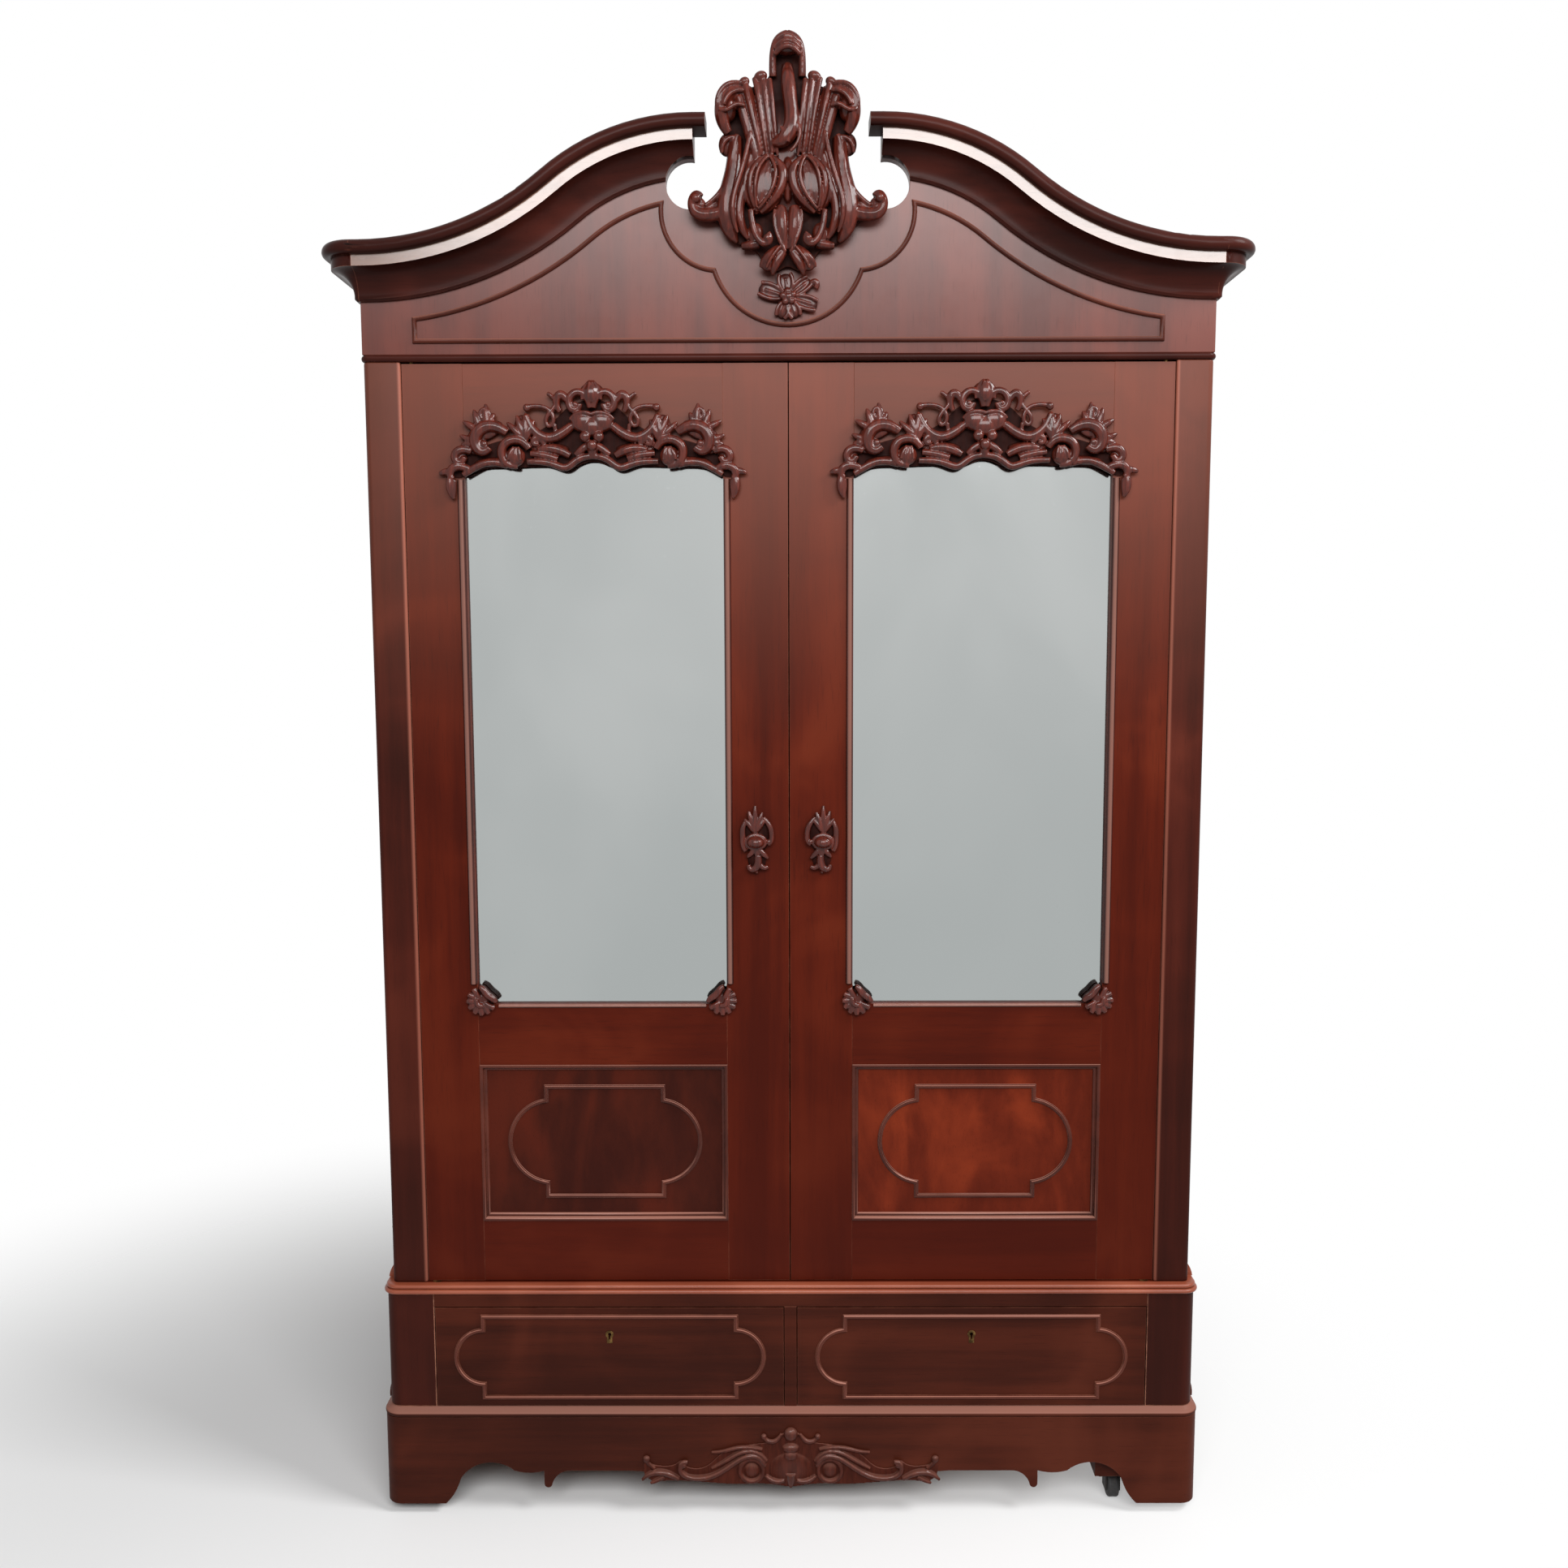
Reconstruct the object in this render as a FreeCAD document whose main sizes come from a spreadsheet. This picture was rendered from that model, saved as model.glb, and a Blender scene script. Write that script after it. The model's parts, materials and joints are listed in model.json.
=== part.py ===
"""Two-door mirrored wardrobe with a swan-neck pediment and two drawers, in millimetres.

The front faces -Y and +Z is up. The origin lies on the floor, under the middle of the whole piece.
"""
import FreeCAD, Part
import math
import os
from types import SimpleNamespace

import Sketcher
from FreeCAD import Placement, Rotation, Vector

SIZES = {
    # body and levels, from the floor up
    "body_width": 1500, "body_depth": 560, "body_corner": 11, "cornice_reach": 62,
    "foot_clearance": 20, "plinth_height": 173, "bed_thickness": 17, "case_height": 223,
    "floor_thickness": 17, "carcase_height": 1692, "top_thickness": 12, "pediment_side_height": 183,
    # plinth and apron
    "plinth_step": 21, "plinth_corner": 30, "plinth_board": 24, "plinth_leg": 80,
    "plinth_roll": 4, "plinth_roll_height": 11, "plinth_back_gap": 80,
    "foot_width": 115, "toe_rise": 48, "toe_run": 28, "toe_bow": 4, "arch_bow": 25, "arch_half": 52,
    "apron_drop_gap": 63.5, "apron_drop_width": 15, "apron_drop_low": 32, "apron_drop_round": 7.2,
    "apron_curl_run": 30, "apron_curl_bow": 6, "apron_sway": 4, "side_cove_bow": 2.5,
    "apron_edge": 66, "apron_middle": 50, "apron_tip": 36, "apron_tip_half": 70, "apron_flat_run": 160.5,
    "plinth_cove_height": 38, "plinth_cove_reach": 8,
    "apron_carving_half": 283, "apron_carving_low": 32, "apron_carving_top_gap": 21,
    "apron_carving_depth": 9, "apron_carving_relief": 7, "apron_scroll_place": 72, "apron_scroll_radius": 26,
    "apron_scroll_rise": 50, "apron_bud_rise": 60, "apron_bud_wide": 21, "apron_bud_long": 41,
    # drawer case
    "case_step": 12, "case_corner": 25, "case_post_width": 92, "case_post_depth": 50,
    "case_rail_height": 26, "case_rail_depth": 40, "muntin_width": 23, "case_side": 20,
    "back_thickness": 12, "guide_width": 18, "guide_height": 40,
    "ledge_reach": 18, "ledge_step": 4, "ledge_cove_height": 29, "ledge_cove_reach": 14,
    # drawers
    "drawer_gap": 1.5, "drawer_top_gap": 2, "drawer_lift": 2, "drawer_run_gap": 0.3,
    "drawer_front": 22, "drawer_side": 12, "drawer_side_gap": 1, "drawer_side_drop": 23,
    "drawer_back_gap": 29, "drawer_bottom": 6, "drawer_bottom_rise": 12,
    "drawer_frame_end": 37.75, "drawer_frame_bow": 52, "drawer_frame_edge": 17,
    "drawer_frame_step": 26, "keyhole_drop": 52, "keyhole_radius": 3.2, "keyhole_slot": 10,
    "plate_radius": 7.5, "plate_foot_width": 9.75, "plate_drop": 17, "plate_thickness": 0.8,
    "lock_width": 60, "lock_height": 78, "lock_depth": 12, "lock_top_gap": 1,
    "bolt_width": 24, "bolt_depth": 5, "bolt_height": 22, "bolt_throw": 9, "bolt_slack": 0.3,
    # hanging space
    "post_width": 66, "post_depth": 50, "post_arris": 4, "side_thickness": 20, "back_board_gap": 1,
    "top_bead_reach": 4, "head_rail_end_gap": 84, "head_rail_height": 30, "head_rail_depth": 24,
    "hat_space_height": 284, "shelf_thickness": 18, "shelf_setback": 100, "cleat_thickness": 20,
    "cleat_height": 100, "rail_radius": 12.5, "rail_drop": 62, "rail_end_gap": 5, "running_slack": 0.05,
    # doors
    "door_thickness": 26, "door_recess": 4, "door_side_gap": 1.5, "door_meeting_gap": 2,
    "door_bottom_gap": 2, "door_top_gap": 3, "hinge_stile": 106.5, "meeting_stile": 115,
    "bottom_rail": 117, "panel_opening": 300, "lock_rail": 116, "top_rail": 167,
    "door_lip": 10, "rebate": 8, "rebate_slack": 0.5, "mirror_thickness": 5, "mirror_back": 8,
    "panel_thickness": 10, "mirror_bead_width": 13, "mirror_bead_height": 7, "mirror_bead_top_gap": 34,
    "bottom_bead_width": 7, "bottom_bead_height": 3.4,
    "panel_frame_width": 12, "panel_frame_proud": 2, "panel_frame_step": 4, "panel_frame_bow": 2,
    "cartouche_end": 52, "cartouche_bow": 69, "cartouche_edge": 44.5, "cartouche_step": 26,
    "bead_width": 8, "bead_height": 5, "bead_round": 2.8,
    "shell_radius": 22, "shell_lobe": 8, "shell_offset": 8, "shell_depth": 9, "shell_step": 2,
    "seat_gap": 0.3,
    "door_carving_end": 31.7, "door_carving_top_gap": 27, "door_carving_sag": 70, "door_carving_depth": 18,
    "door_carving_dip": 18, "heart_rise": 55, "heart_wide": 36, "heart_long": 50, "heart_relief": 10,
    "pull_place": 59, "pull_height": 840, "pull_long": 130, "pull_wide": 62, "pull_depth": 14,
    "pull_knob_wide": 21, "pull_knob_high": 17, "pull_knob_reach": 18,
    # door fittings
    "pivot_radius": 4, "pivot_inset": 16, "pivot_setback": 6, "pivot_grip": 20, "pivot_seat": 9,
    "pivot_reach": 8, "pivot_collar": 10, "collar_gap": 0.3,
    "slide_bolt_place": 28, "slide_bolt_width": 10, "slide_bolt_depth": 7, "slide_bolt_length": 110,
    "slide_bolt_throw": 12, "slide_bolt_rest": 5, "staple_width": 26, "staple_height": 14,
    "staple_plate": 2, "staple_wall": 3, "slide_knob_radius": 4, "slide_knob_reach": 9,
    "door_lock_width": 70, "door_lock_height": 110, "door_lock_depth": 16, "door_lock_edge": 3,
    "lock_bolt_length": 40, "lock_bolt_height": 24, "lock_bolt_depth": 8, "lock_bolt_throw": 14,
    "keeper_width": 26, "keeper_height": 40,
    # pediment
    "frieze_thickness": 20, "arm_flat": 10, "arm_inner": 162, "arm_rise": 206, "arm_lower_share": 0.548,
    "crown_height": 24, "crown_end": 22, "crown_nose_upper": 14, "crown_nose_lower": 10,
    "fascia_reach": 47, "fascia_height": 19, "cove_top_reach": 44, "cove_foot_reach": 9,
    "cove_height": 40, "cove_bow": 9, "cove_foot": 6, "cove_lip": 4,
    "notch_place": 170, "notch_radius": 42, "notch_drop": 102,
    "panel_end_gap": 94, "panel_low_gap": 23, "panel_offset": 128, "panel_shoulder": 220,
    "lobe_half": 129, "lobe_height": 142, "lobe_low": 49, "lobe_side_radius": 100,
    # crest and flower
    "crest_low": 126, "crest_height": 407, "crest_half": 174, "crest_depth": 32, "crest_relief": 16,
    "crest_ear_place": 98, "crest_ear_rise": 284, "crest_ear_radius": 28, "crest_volute_place": 159,
    "crest_volute_rise": 130, "crest_volute_radius": 15, "crest_head_rise": 372, "crest_head_wide": 27,
    "crest_head_long": 33, "pod_long": 49, "pod_wide": 28, "pod_place": 38, "pod_rise": 153,
    "bud_long": 37, "bud_wide": 24, "bud_rise": 75,
    "flower_rise": 94, "flower_radius": 14, "flower_petal": 14, "flower_reach": 24, "flower_depth": 14,
    # casters
    "wheel_radius": 25, "wheel_width": 21, "wheel_shoulder": 4, "axle_radius": 4, "cheek_thickness": 3,
    "cheek_width": 26, "cheek_gap": 1, "cheek_drop": 9, "caster_plate": 3, "caster_plate_width": 62,
    "wheel_headroom": 6,
    "caster_front_right_inset": 149, "caster_front_left_inset": 71, "caster_back_inset": 81,
    "caster_setback": 35,
    "caster_block_width": 80, "caster_block_depth": 92,
}

BACK_BOARDS = 5
FLOWER_PETALS = 5
SHELL_LOBES = 7
SHELL_FAN_ANGLE = 200
SHELL_AIM_ANGLE = 45
POD_LEAN_ANGLE = 14
# carved outlines, right halves: shares of the half width and of the height
CREST_SHARES = [
    (0, 0.057), (0.155, 0), (0.29, 0.05), (0.29, 0.11), (0.45, 0.11), (0.51, 0.13), (0.6, 0.13),
    (0.7, 0.22), (0.94, 0.23), (1, 0.275), (1, 0.32), (0.914, 0.355), (0.82, 0.307), (0.7, 0.35),
    (0.62, 0.43), (0.575, 0.482), (0.66, 0.49), (0.67, 0.56), (0.71, 0.58), (0.73, 0.68), (0.68, 0.75),
    (0.575, 0.77), (0.42, 0.79), (0.345, 0.78), (0.31, 0.816), (0.172, 0.81), (0.172, 0.926),
    (0.12, 0.98), (0, 1),
]
DOOR_CARVING_SHARES = [
    (0, 1), (0.07, 0.9), (0.16, 0.9), (0.21, 0.83), (0.29, 0.87), (0.43, 0.78), (0.56, 0.69),
    (0.65, 0.73), (0.71, 0.81), (0.77, 0.68), (0.84, 0.5), (0.92, 0.36), (1, 0.22), (0.99, 0.15),
    (0.94, 0.03), (0.91, 0),
]
# lower edge of the same carving, from its end to its middle: up is a share of the dip below the mirror's top
DOOR_CARVING_DIP_SHARES = [
    (0.68, -0.8), (0.52, -1), (0.43, -0.3), (0.32, -0.4), (0.2, -1), (0.11, 0.1), (0, 0.25),
]
APRON_CARVING_SHARES = [
    (0, 0), (0.25, 0.09), (0.72, 0.2), (1, 0.3), (0.96, 0.42), (0.7, 0.42), (0.45, 0.56), (0.3, 0.78),
    (0.15, 0.8), (0, 1),
]
PULL_SHARES = [(0, 0), (0.5, 0.08), (0.7, 0.25), (1, 0.42), (1, 0.58), (0.75, 0.72), (0.6, 0.86), (0, 1)]


class Dim:
    """A length that keeps its formula, so that a piece can follow the sheet or be read as a number."""

    def __init__(self, text, value):
        self.text = text
        self.value = value

    def __float__(self):
        return self.value

    def __add__(self, other):
        other = as_dim(other)
        return Dim(f"({self.text} + {other.text})", self.value + other.value)

    def __sub__(self, other):
        other = as_dim(other)
        return Dim(f"({self.text} - {other.text})", self.value - other.value)

    def __mul__(self, other):
        other = as_dim(other)
        return Dim(f"({self.text} * {other.text})", self.value * other.value)

    def __truediv__(self, other):
        other = as_dim(other)
        return Dim(f"({self.text} / {other.text})", self.value / other.value)

    def __radd__(self, other):
        return as_dim(other) + self

    def __rsub__(self, other):
        return as_dim(other) - self

    def __rmul__(self, other):
        return as_dim(other) * self

    def __neg__(self):
        return Dim(f"(-1 * {self.text})", -self.value)

    def root(self):
        return Dim(f"sqrt({self.text})", math.sqrt(self.value))


def as_dim(number):
    """A plain number as a length of its own."""
    return number if isinstance(number, Dim) else Dim(f"({float(number)})", float(number))


doc = FreeCAD.newDocument("wardrobe")
sheet = doc.addObject("Spreadsheet::Sheet", "sizes")
for row, (name, number) in enumerate(SIZES.items(), 1):
    sheet.set(f"A{row}", name.replace("_", " "))
    sheet.set(f"B{row}", str(number))
    sheet.setAlias(f"B{row}", name)
doc.recompute()
s = SimpleNamespace(**{name: Dim(f"sizes.{name}", float(sheet.get(name))) for name in SIZES})

HANDS = {"left": -1, "right": 1}
SLOPE = {"x": Rotation(Vector(0, 1, 0), 90), "y": Rotation(Vector(1, 0, 0), -90), "z": Rotation()}
# how a section lies: its first axis points out of the wardrobe, its second axis points up
FACING = {
    "front": Rotation(Vector(0, -1, 0), Vector(0, 0, 1), Vector(-1, 0, 0), "ZXY"),
    "left": Rotation(Vector(-1, 0, 0), Vector(0, 0, 1), Vector(0, 1, 0), "ZXY"),
    "right": Rotation(Vector(1, 0, 0), Vector(0, 0, 1), Vector(0, -1, 0), "ZXY"),
}
nodes = {}


def bind(item, prop, length):
    """Ties one property to the sheet."""
    item.setExpression(prop, as_dim(length).text)


def place(item, x, y, z, turn=None):
    """Ties a piece's place to the sheet, with a fixed turn."""
    item.Placement = Placement(Vector(float(x), float(y), float(z)), turn or Rotation())
    for axis, length in zip("xyz", (x, y, z)):
        bind(item, f"Placement.Base.{axis}", length)


def span(side, near, far):
    """Low and high x of something that lies between near and far on one side of the middle."""
    return (near, far) if side > 0 else (-far, -near)


def around(middle, width):
    """Low and high of something centred on middle."""
    return middle - width / 2, middle + width / 2


def board(name, x, y, z):
    """A plain board between two x, two y and two z."""
    piece = doc.addObject("Part::Box", name)
    for prop, (low, high) in zip(("Length", "Width", "Height"), (x, y, z)):
        bind(piece, prop, high - low)
    place(piece, x[0], y[0], z[0])
    return piece


def rod(name, radius, length, start, axis="z"):
    """A round bar from its start along an axis."""
    piece = doc.addObject("Part::Cylinder", name)
    bind(piece, "Radius", radius)
    bind(piece, "Height", length)
    place(piece, *start, SLOPE[axis])
    return piece


def egg(name, centre, across, deep, high, lean=0):
    """A rounded lump with three radii, leaning sideways by an angle."""
    piece = doc.addObject("Part::Ellipsoid", name)
    for prop, radius in zip(("Radius1", "Radius2", "Radius3"), (high, across, deep)):
        bind(piece, prop, radius)
    piece.Angle1, piece.Angle2, piece.Angle3 = -90, 90, 360
    place(piece, *centre, Rotation(Vector(0, 1, 0), lean))
    return piece


def fuse(name, *pieces):
    """Pieces glued or cut from one block."""
    whole = doc.addObject("Part::MultiFuse", name)
    whole.Shapes = list(pieces)
    return whole


def cut(name, base, *tools):
    """A piece with holes or recesses."""
    rest = doc.addObject("Part::Cut", name)
    rest.Base = base
    rest.Tool = tools[0] if len(tools) == 1 else fuse(f"{name}_tools", *tools)
    return rest


def mirrored(name, source):
    """The same piece on the other side of the middle."""
    twin = doc.addObject("Part::Mirroring", name)
    twin.Source = source
    twin.Normal = Vector(1, 0, 0)
    return twin


def both(name, right):
    """A right-hand piece and its left-hand twin."""
    return [mirrored(f"{name}_left", right), right]


def node(name, *pieces):
    """One finished sub-part, made of one solid or of a group of separate solids."""
    if len(pieces) == 1:
        whole = pieces[0]
    else:
        whole = doc.addObject("Part::Compound", f"{name}_group")
        whole.Links = list(pieces)
    whole.Label = name
    nodes[name] = whole


def bulge(start, stop, height):
    """Radius of the arc from start to stop that rises by height over its chord."""
    across = stop[0] - start[0]
    up = stop[1] - start[1]
    return (across * across + up * up) / (8 * height) + height / 2


def arc_between(start, stop, bend):
    """Arc of less than a half circle; it turns left for a positive bend and right for a negative one."""
    chord = stop - start
    left = Vector(-chord.y, chord.x, 0).normalize()
    rise = math.sqrt(max(bend * bend - chord.Length ** 2 / 4, 0))
    centre = (start + stop) / 2 + left * math.copysign(rise, bend)
    first, last = (start, stop) if bend > 0 else (stop, start)
    angles = [math.atan2(p.y - centre.y, p.x - centre.x) for p in (first, last)]
    return Part.ArcOfCircle(Part.Circle(centre, Vector(0, 0, 1), abs(bend)), *angles)


def draw(sketch, corners, closed=True):
    """Lines and arcs through corners (across, up) or (across, up, bend), each tied to the sheet.

    A bend is the radius of the run that leaves its corner: plus turns left, minus turns right.
    """
    points = [Vector(float(c[0]), float(c[1]), 0) for c in corners]
    count = len(corners)
    ends = []
    for i in range(count if closed else count - 1):
        stop = points[(i + 1) % count]
        bend = as_dim(corners[i][2]) if len(corners[i]) > 2 else None
        if bend is None:
            run = sketch.addGeometry(Part.LineSegment(points[i], stop), False)
            ends.append((run, 1, 2))
            continue
        run = sketch.addGeometry(arc_between(points[i], stop, bend.value), False)
        ends.append((run, 1, 2) if bend.value > 0 else (run, 2, 1))
        radius = bend if bend.value > 0 else -bend
        tie = sketch.addConstraint(Sketcher.Constraint("Radius", run, radius.value))
        bind(sketch, f"Constraints[{tie}]", radius)
    for (run, _, last), (after, first, _) in zip(ends, ends[1:] + (ends[:1] if closed else [])):
        sketch.addConstraint(Sketcher.Constraint("Coincident", run, last, after, first))
    for i, corner in enumerate(corners):
        run, end = (ends[i][0], ends[i][1]) if i < len(ends) else (ends[-1][0], ends[-1][2])
        for kind, length in zip(("DistanceX", "DistanceY"), corner):
            length = as_dim(length)
            tie = sketch.addConstraint(Sketcher.Constraint(kind, -1, 1, run, end, length.value))
            bind(sketch, f"Constraints[{tie}]", length)


def both_sides(right):
    """Closed outline, even about the middle, from a right half that starts on the middle.

    The half ends on the middle too, or at a corner that a straight run joins to its twin.
    """
    left = [(-right[i][0], right[i][1], *right[i - 1][2:]) for i in range(len(right) - 1, 0, -1)]
    return (right[:-1] if float(right[-1][0]) == 0 else right) + left


def padded(name, plane, corners, low, high):
    """An outline on an upright or level plane, thickened from low to high along the third axis."""
    body = doc.addObject("PartDesign::Body", name)
    sketch = body.newObject("Sketcher::SketchObject", f"{name}_outline")
    base = next(f for f in body.Origin.OriginFeatures if f.Role == f"{plane}_Plane")
    sketch.AttachmentSupport = [(base, "")]
    sketch.MapMode = "FlatFace"
    # the XZ plane faces -Y, so its outline starts at the far side
    bind(sketch, "AttachmentOffset.Base.z", -high if plane == "XZ" else low)
    draw(sketch, corners)
    pad = body.newObject("PartDesign::Pad", f"{name}_pad")
    pad.Profile = sketch
    bind(pad, "Length", high - low)
    body.Tip = pad
    return body


def section(name, corners, x, y, z, facing):
    """A moulding's section, drawn (outwards, upwards) and set up at one place."""
    sketch = doc.addObject("Sketcher::SketchObject", name)
    draw(sketch, corners)
    place(sketch, x, y, z, FACING[facing])
    return sketch


def path(name, corners, x, y, z, turn, closed):
    """A line for a moulding to follow."""
    sketch = doc.addObject("Sketcher::SketchObject", name)
    draw(sketch, corners, closed)
    place(sketch, x, y, z, turn)
    return sketch


def swept(name, profile, route):
    """A moulding along a route, with mitred corners."""
    stick = doc.addObject("Part::Sweep", name)
    stick.Sections = [profile]
    stick.Spine = (route, [])
    stick.Solid = True
    stick.Transition = "Right corner"
    return stick


def drawn_out(name, profile, direction, length):
    """A straight length of a moulding."""
    stick = doc.addObject("Part::Extrusion", name)
    stick.Base = profile
    stick.DirMode = "Custom"
    stick.Dir = direction
    stick.Solid = True
    bind(stick, "LengthFwd", length)
    return stick


def turned(name, profile, x, y):
    """A quarter turn of a moulding about an upright axis, from the front to the right side."""
    corner = doc.addObject("Part::Revolution", name)
    corner.Source = profile
    corner.Axis = Vector(0, 0, 1)
    corner.Angle = 90
    corner.Solid = True
    for axis, length in zip("xyz", (x, y, 0)):
        bind(corner, f"Base.{axis}", length)
    return corner


# levels and faces that the pieces share
half = s.body_width / 2
back = (s.body_depth + s.cornice_reach) / 2
front = s.cornice_reach - back
plinth_top = s.foot_clearance + s.plinth_height
bed_top = plinth_top + s.bed_thickness
case_top = bed_top + s.case_height
floor_top = case_top + s.floor_thickness
post_top = floor_top + s.carcase_height
frieze_low = post_top + s.top_thickness
arm_low = frieze_low + s.pediment_side_height
arm_high = arm_low + s.arm_rise
case_half = half + s.case_step
case_front = front - s.case_step
plinth_half = half + s.plinth_step
plinth_face = front - s.plinth_step
door_front = front + s.door_recess
door_back = door_front + s.door_thickness
door_low = floor_top + s.door_bottom_gap
door_high = post_top - s.door_top_gap
door_outer = half - s.post_width - s.door_side_gap
door_inner = s.door_meeting_gap / 2
inside_back = back - s.back_thickness
pivot_x = door_outer - s.pivot_inset
pivot_y = door_front + s.pivot_setback


def rounded_slab(name, low, high):
    """A level board as wide and deep as the body, with rounded front corners."""
    r = s.body_corner
    outline = [(-half, back), (-half, front + r, r), (r - half, front), (half - r, front, r),
               (half, front + r), (half, back)]
    return padded(name, "XY", outline, low, high)


def ring_moulding(name, profile, low):
    """A moulding round the front and sides of the body: the front with its corners and two returns."""
    r = s.body_corner
    start = section(f"{name}_section", profile, -half, front + r, low, "left")
    route = path(f"{name}_path", [(-half, front + r, r), (r - half, front), (half - r, front, r),
                                  (half, front + r)], 0, 0, low, Rotation(), False)
    left = drawn_out(f"{name}_return", start, Vector(0, 1, 0), back - front - r)
    return [swept(f"{name}_front", start, route), left, mirrored(f"{name}_return_right", left)]


def side_coves(name, foot, low, height, reach):
    """Hollow strips on both sides, from a wide foot up to nothing."""
    profile = [(0, 0), (reach, 0, bulge((reach, 0), (0, height), s.side_cove_bow)), (0, height)]
    strip = section(f"{name}_section", profile, -foot, front + s.case_corner, low, "left")
    left = drawn_out(f"{name}_left", strip, Vector(0, 1, 0), back - front - s.case_corner)
    return [left, mirrored(f"{name}_right", left)]


def bead_ring(name, corners, y):
    """A half-round bead along a closed line on an upright face at y, from the middle of its first run."""
    w = s.bead_width / 2
    first, second = corners[0], corners[1]
    middle = ((first[0] + second[0]) / 2, first[1])
    route = path(f"{name}_path", [middle] + corners[1:] + [first[:2]], 0, y, 0,
                 Rotation(Vector(1, 0, 0), 90), True)
    wall = s.bead_height - s.bead_round
    profile = [(0, -w), (wall, -w, bulge((0, -w), (0, w), s.bead_round)), (wall, w), (0, w)]
    return swept(name, section(f"{name}_section", profile, middle[0], y, middle[1], "front"), route)


def cartouche(name, x, low, half_width, bow, height, step, y):
    """A stepped bead round a panel with straight top and bottom, small steps and bowed ends."""
    straight = half_width - bow
    middle = low + height / 2
    chord = height - 2 * step
    radius = chord * chord / (8 * bow) + bow / 2
    bow_centre = half_width - radius

    def outline(grow):
        reach = straight + grow
        off = reach - bow_centre
        rise = ((radius + grow) * (radius + grow) - off * off).root()
        edge = height / 2 + grow
        tip = half_width + grow
        bend = radius + grow
        return [(x - reach, middle - edge), (x + reach, middle - edge), (x + reach, middle - rise, bend),
                (x + tip, middle, bend), (x + reach, middle + rise), (x + reach, middle + edge),
                (x - reach, middle + edge), (x - reach, middle + rise, bend), (x - tip, middle, bend),
                (x - reach, middle - rise)]

    tiers = []
    foot = (s.bead_width / 2, s.bead_height - s.bead_round)
    top = (s.bead_width / 4, s.bead_height)
    for tier, (wide, high) in (("foot", foot), ("top", top)):
        whole = padded(f"{name}_{tier}", "XZ", outline(wide), y - high, y)
        inside = padded(f"{name}_{tier}_inside", "XZ", outline(-wide), y - high, y)
        tiers.append(cut(f"{name}_{tier}_ring", whole, inside))
    return fuse(name, *tiers)


def shaped(edge, half_width, low, height):
    """Half of a carved outline: shares of its half width, and of its height from its lowest point."""
    return [(half_width * across, low + height * up) for across, up in edge]


def plinth():
    """Apron with front feet, side boards, caster blocks, the roll on top and the carving."""
    p, r, t, leg = plinth_half, s.plinth_corner, s.plinth_board, plinth_face + s.plinth_leg
    low = s.foot_clearance
    plan = [(-p, leg), (-p, plinth_face + r, r), (r - p, plinth_face), (p - r, plinth_face, r),
            (p, plinth_face + r), (p, leg), (p - t, leg), (p - t, plinth_face + t),
            (t - p, plinth_face + t), (t - p, leg)]
    edge = low + s.apron_edge
    toe = p - s.foot_width
    arch_end = toe - s.toe_run
    arch_start = arch_end - 2 * s.arch_half
    drop_place = arch_start - s.apron_drop_gap
    drop, drop_end = around(drop_place, s.apron_drop_width)
    drop_low = low + s.apron_drop_low + s.apron_drop_width / 2
    arch_low = low + s.toe_rise
    curl = drop - s.apron_curl_run
    apron = [
        (0, low + s.apron_tip), (s.apron_tip_half, low + s.apron_middle),
        (drop_place - s.apron_flat_run, edge),
        (curl, edge, -bulge((curl, edge), (drop, drop_low), s.apron_curl_bow)),
        (drop, drop_low, bulge((drop, drop_low), (drop_end, drop_low), s.apron_drop_round)),
        (drop_end, drop_low),
        (drop_end, edge, bulge((drop_end, edge), (arch_start, edge), s.apron_sway)),
        (arch_start, edge, -bulge((arch_start, edge), (arch_end, arch_low), s.arch_bow)),
        (arch_end, arch_low, bulge((arch_end, arch_low), (toe, low), s.toe_bow)),
        (toe, low), (toe, low - t),
    ]
    opening = padded("apron_opening", "XZ", both_sides(apron), plinth_face - t, leg)
    node("plinth_front", cut("apron_board", padded("plinth_wrap", "XY", plan, low, plinth_top), opening))

    pieces = [board(f"plinth_side_{hand}", span(side, p - t, p), (leg, back), (low, plinth_top))
              for hand, side in HANDS.items()]
    pieces.append(board("plinth_back", (t - p, p - t), (back - t, back),
                        (low + s.plinth_back_gap, plinth_top)))
    for name, x, y in caster_places():
        deep = (plinth_face + t, plinth_face + t + s.caster_block_depth)
        if "back" in name:
            deep = (back - t - s.caster_block_depth, back - t)
        pieces.append(board(f"block_{name}", around(x, s.caster_block_width), deep, (caster_top, plinth_top)))
    node("plinth_sides", *pieces)

    edge_out = s.plinth_step - s.plinth_roll / 2
    roll = s.plinth_roll_height
    profile = [(0, 0), (edge_out, 0, bulge((edge_out, 0), (edge_out, roll), s.plinth_roll)), (edge_out, roll),
               (s.case_step, s.bed_thickness), (0, s.bed_thickness)]
    node("plinth_moulding", *ring_moulding("plinth_roll", profile, plinth_top),
         *side_coves("plinth_cove", case_half, bed_top, s.plinth_cove_height, s.plinth_cove_reach))
    apron_carving(plinth_face)


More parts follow.
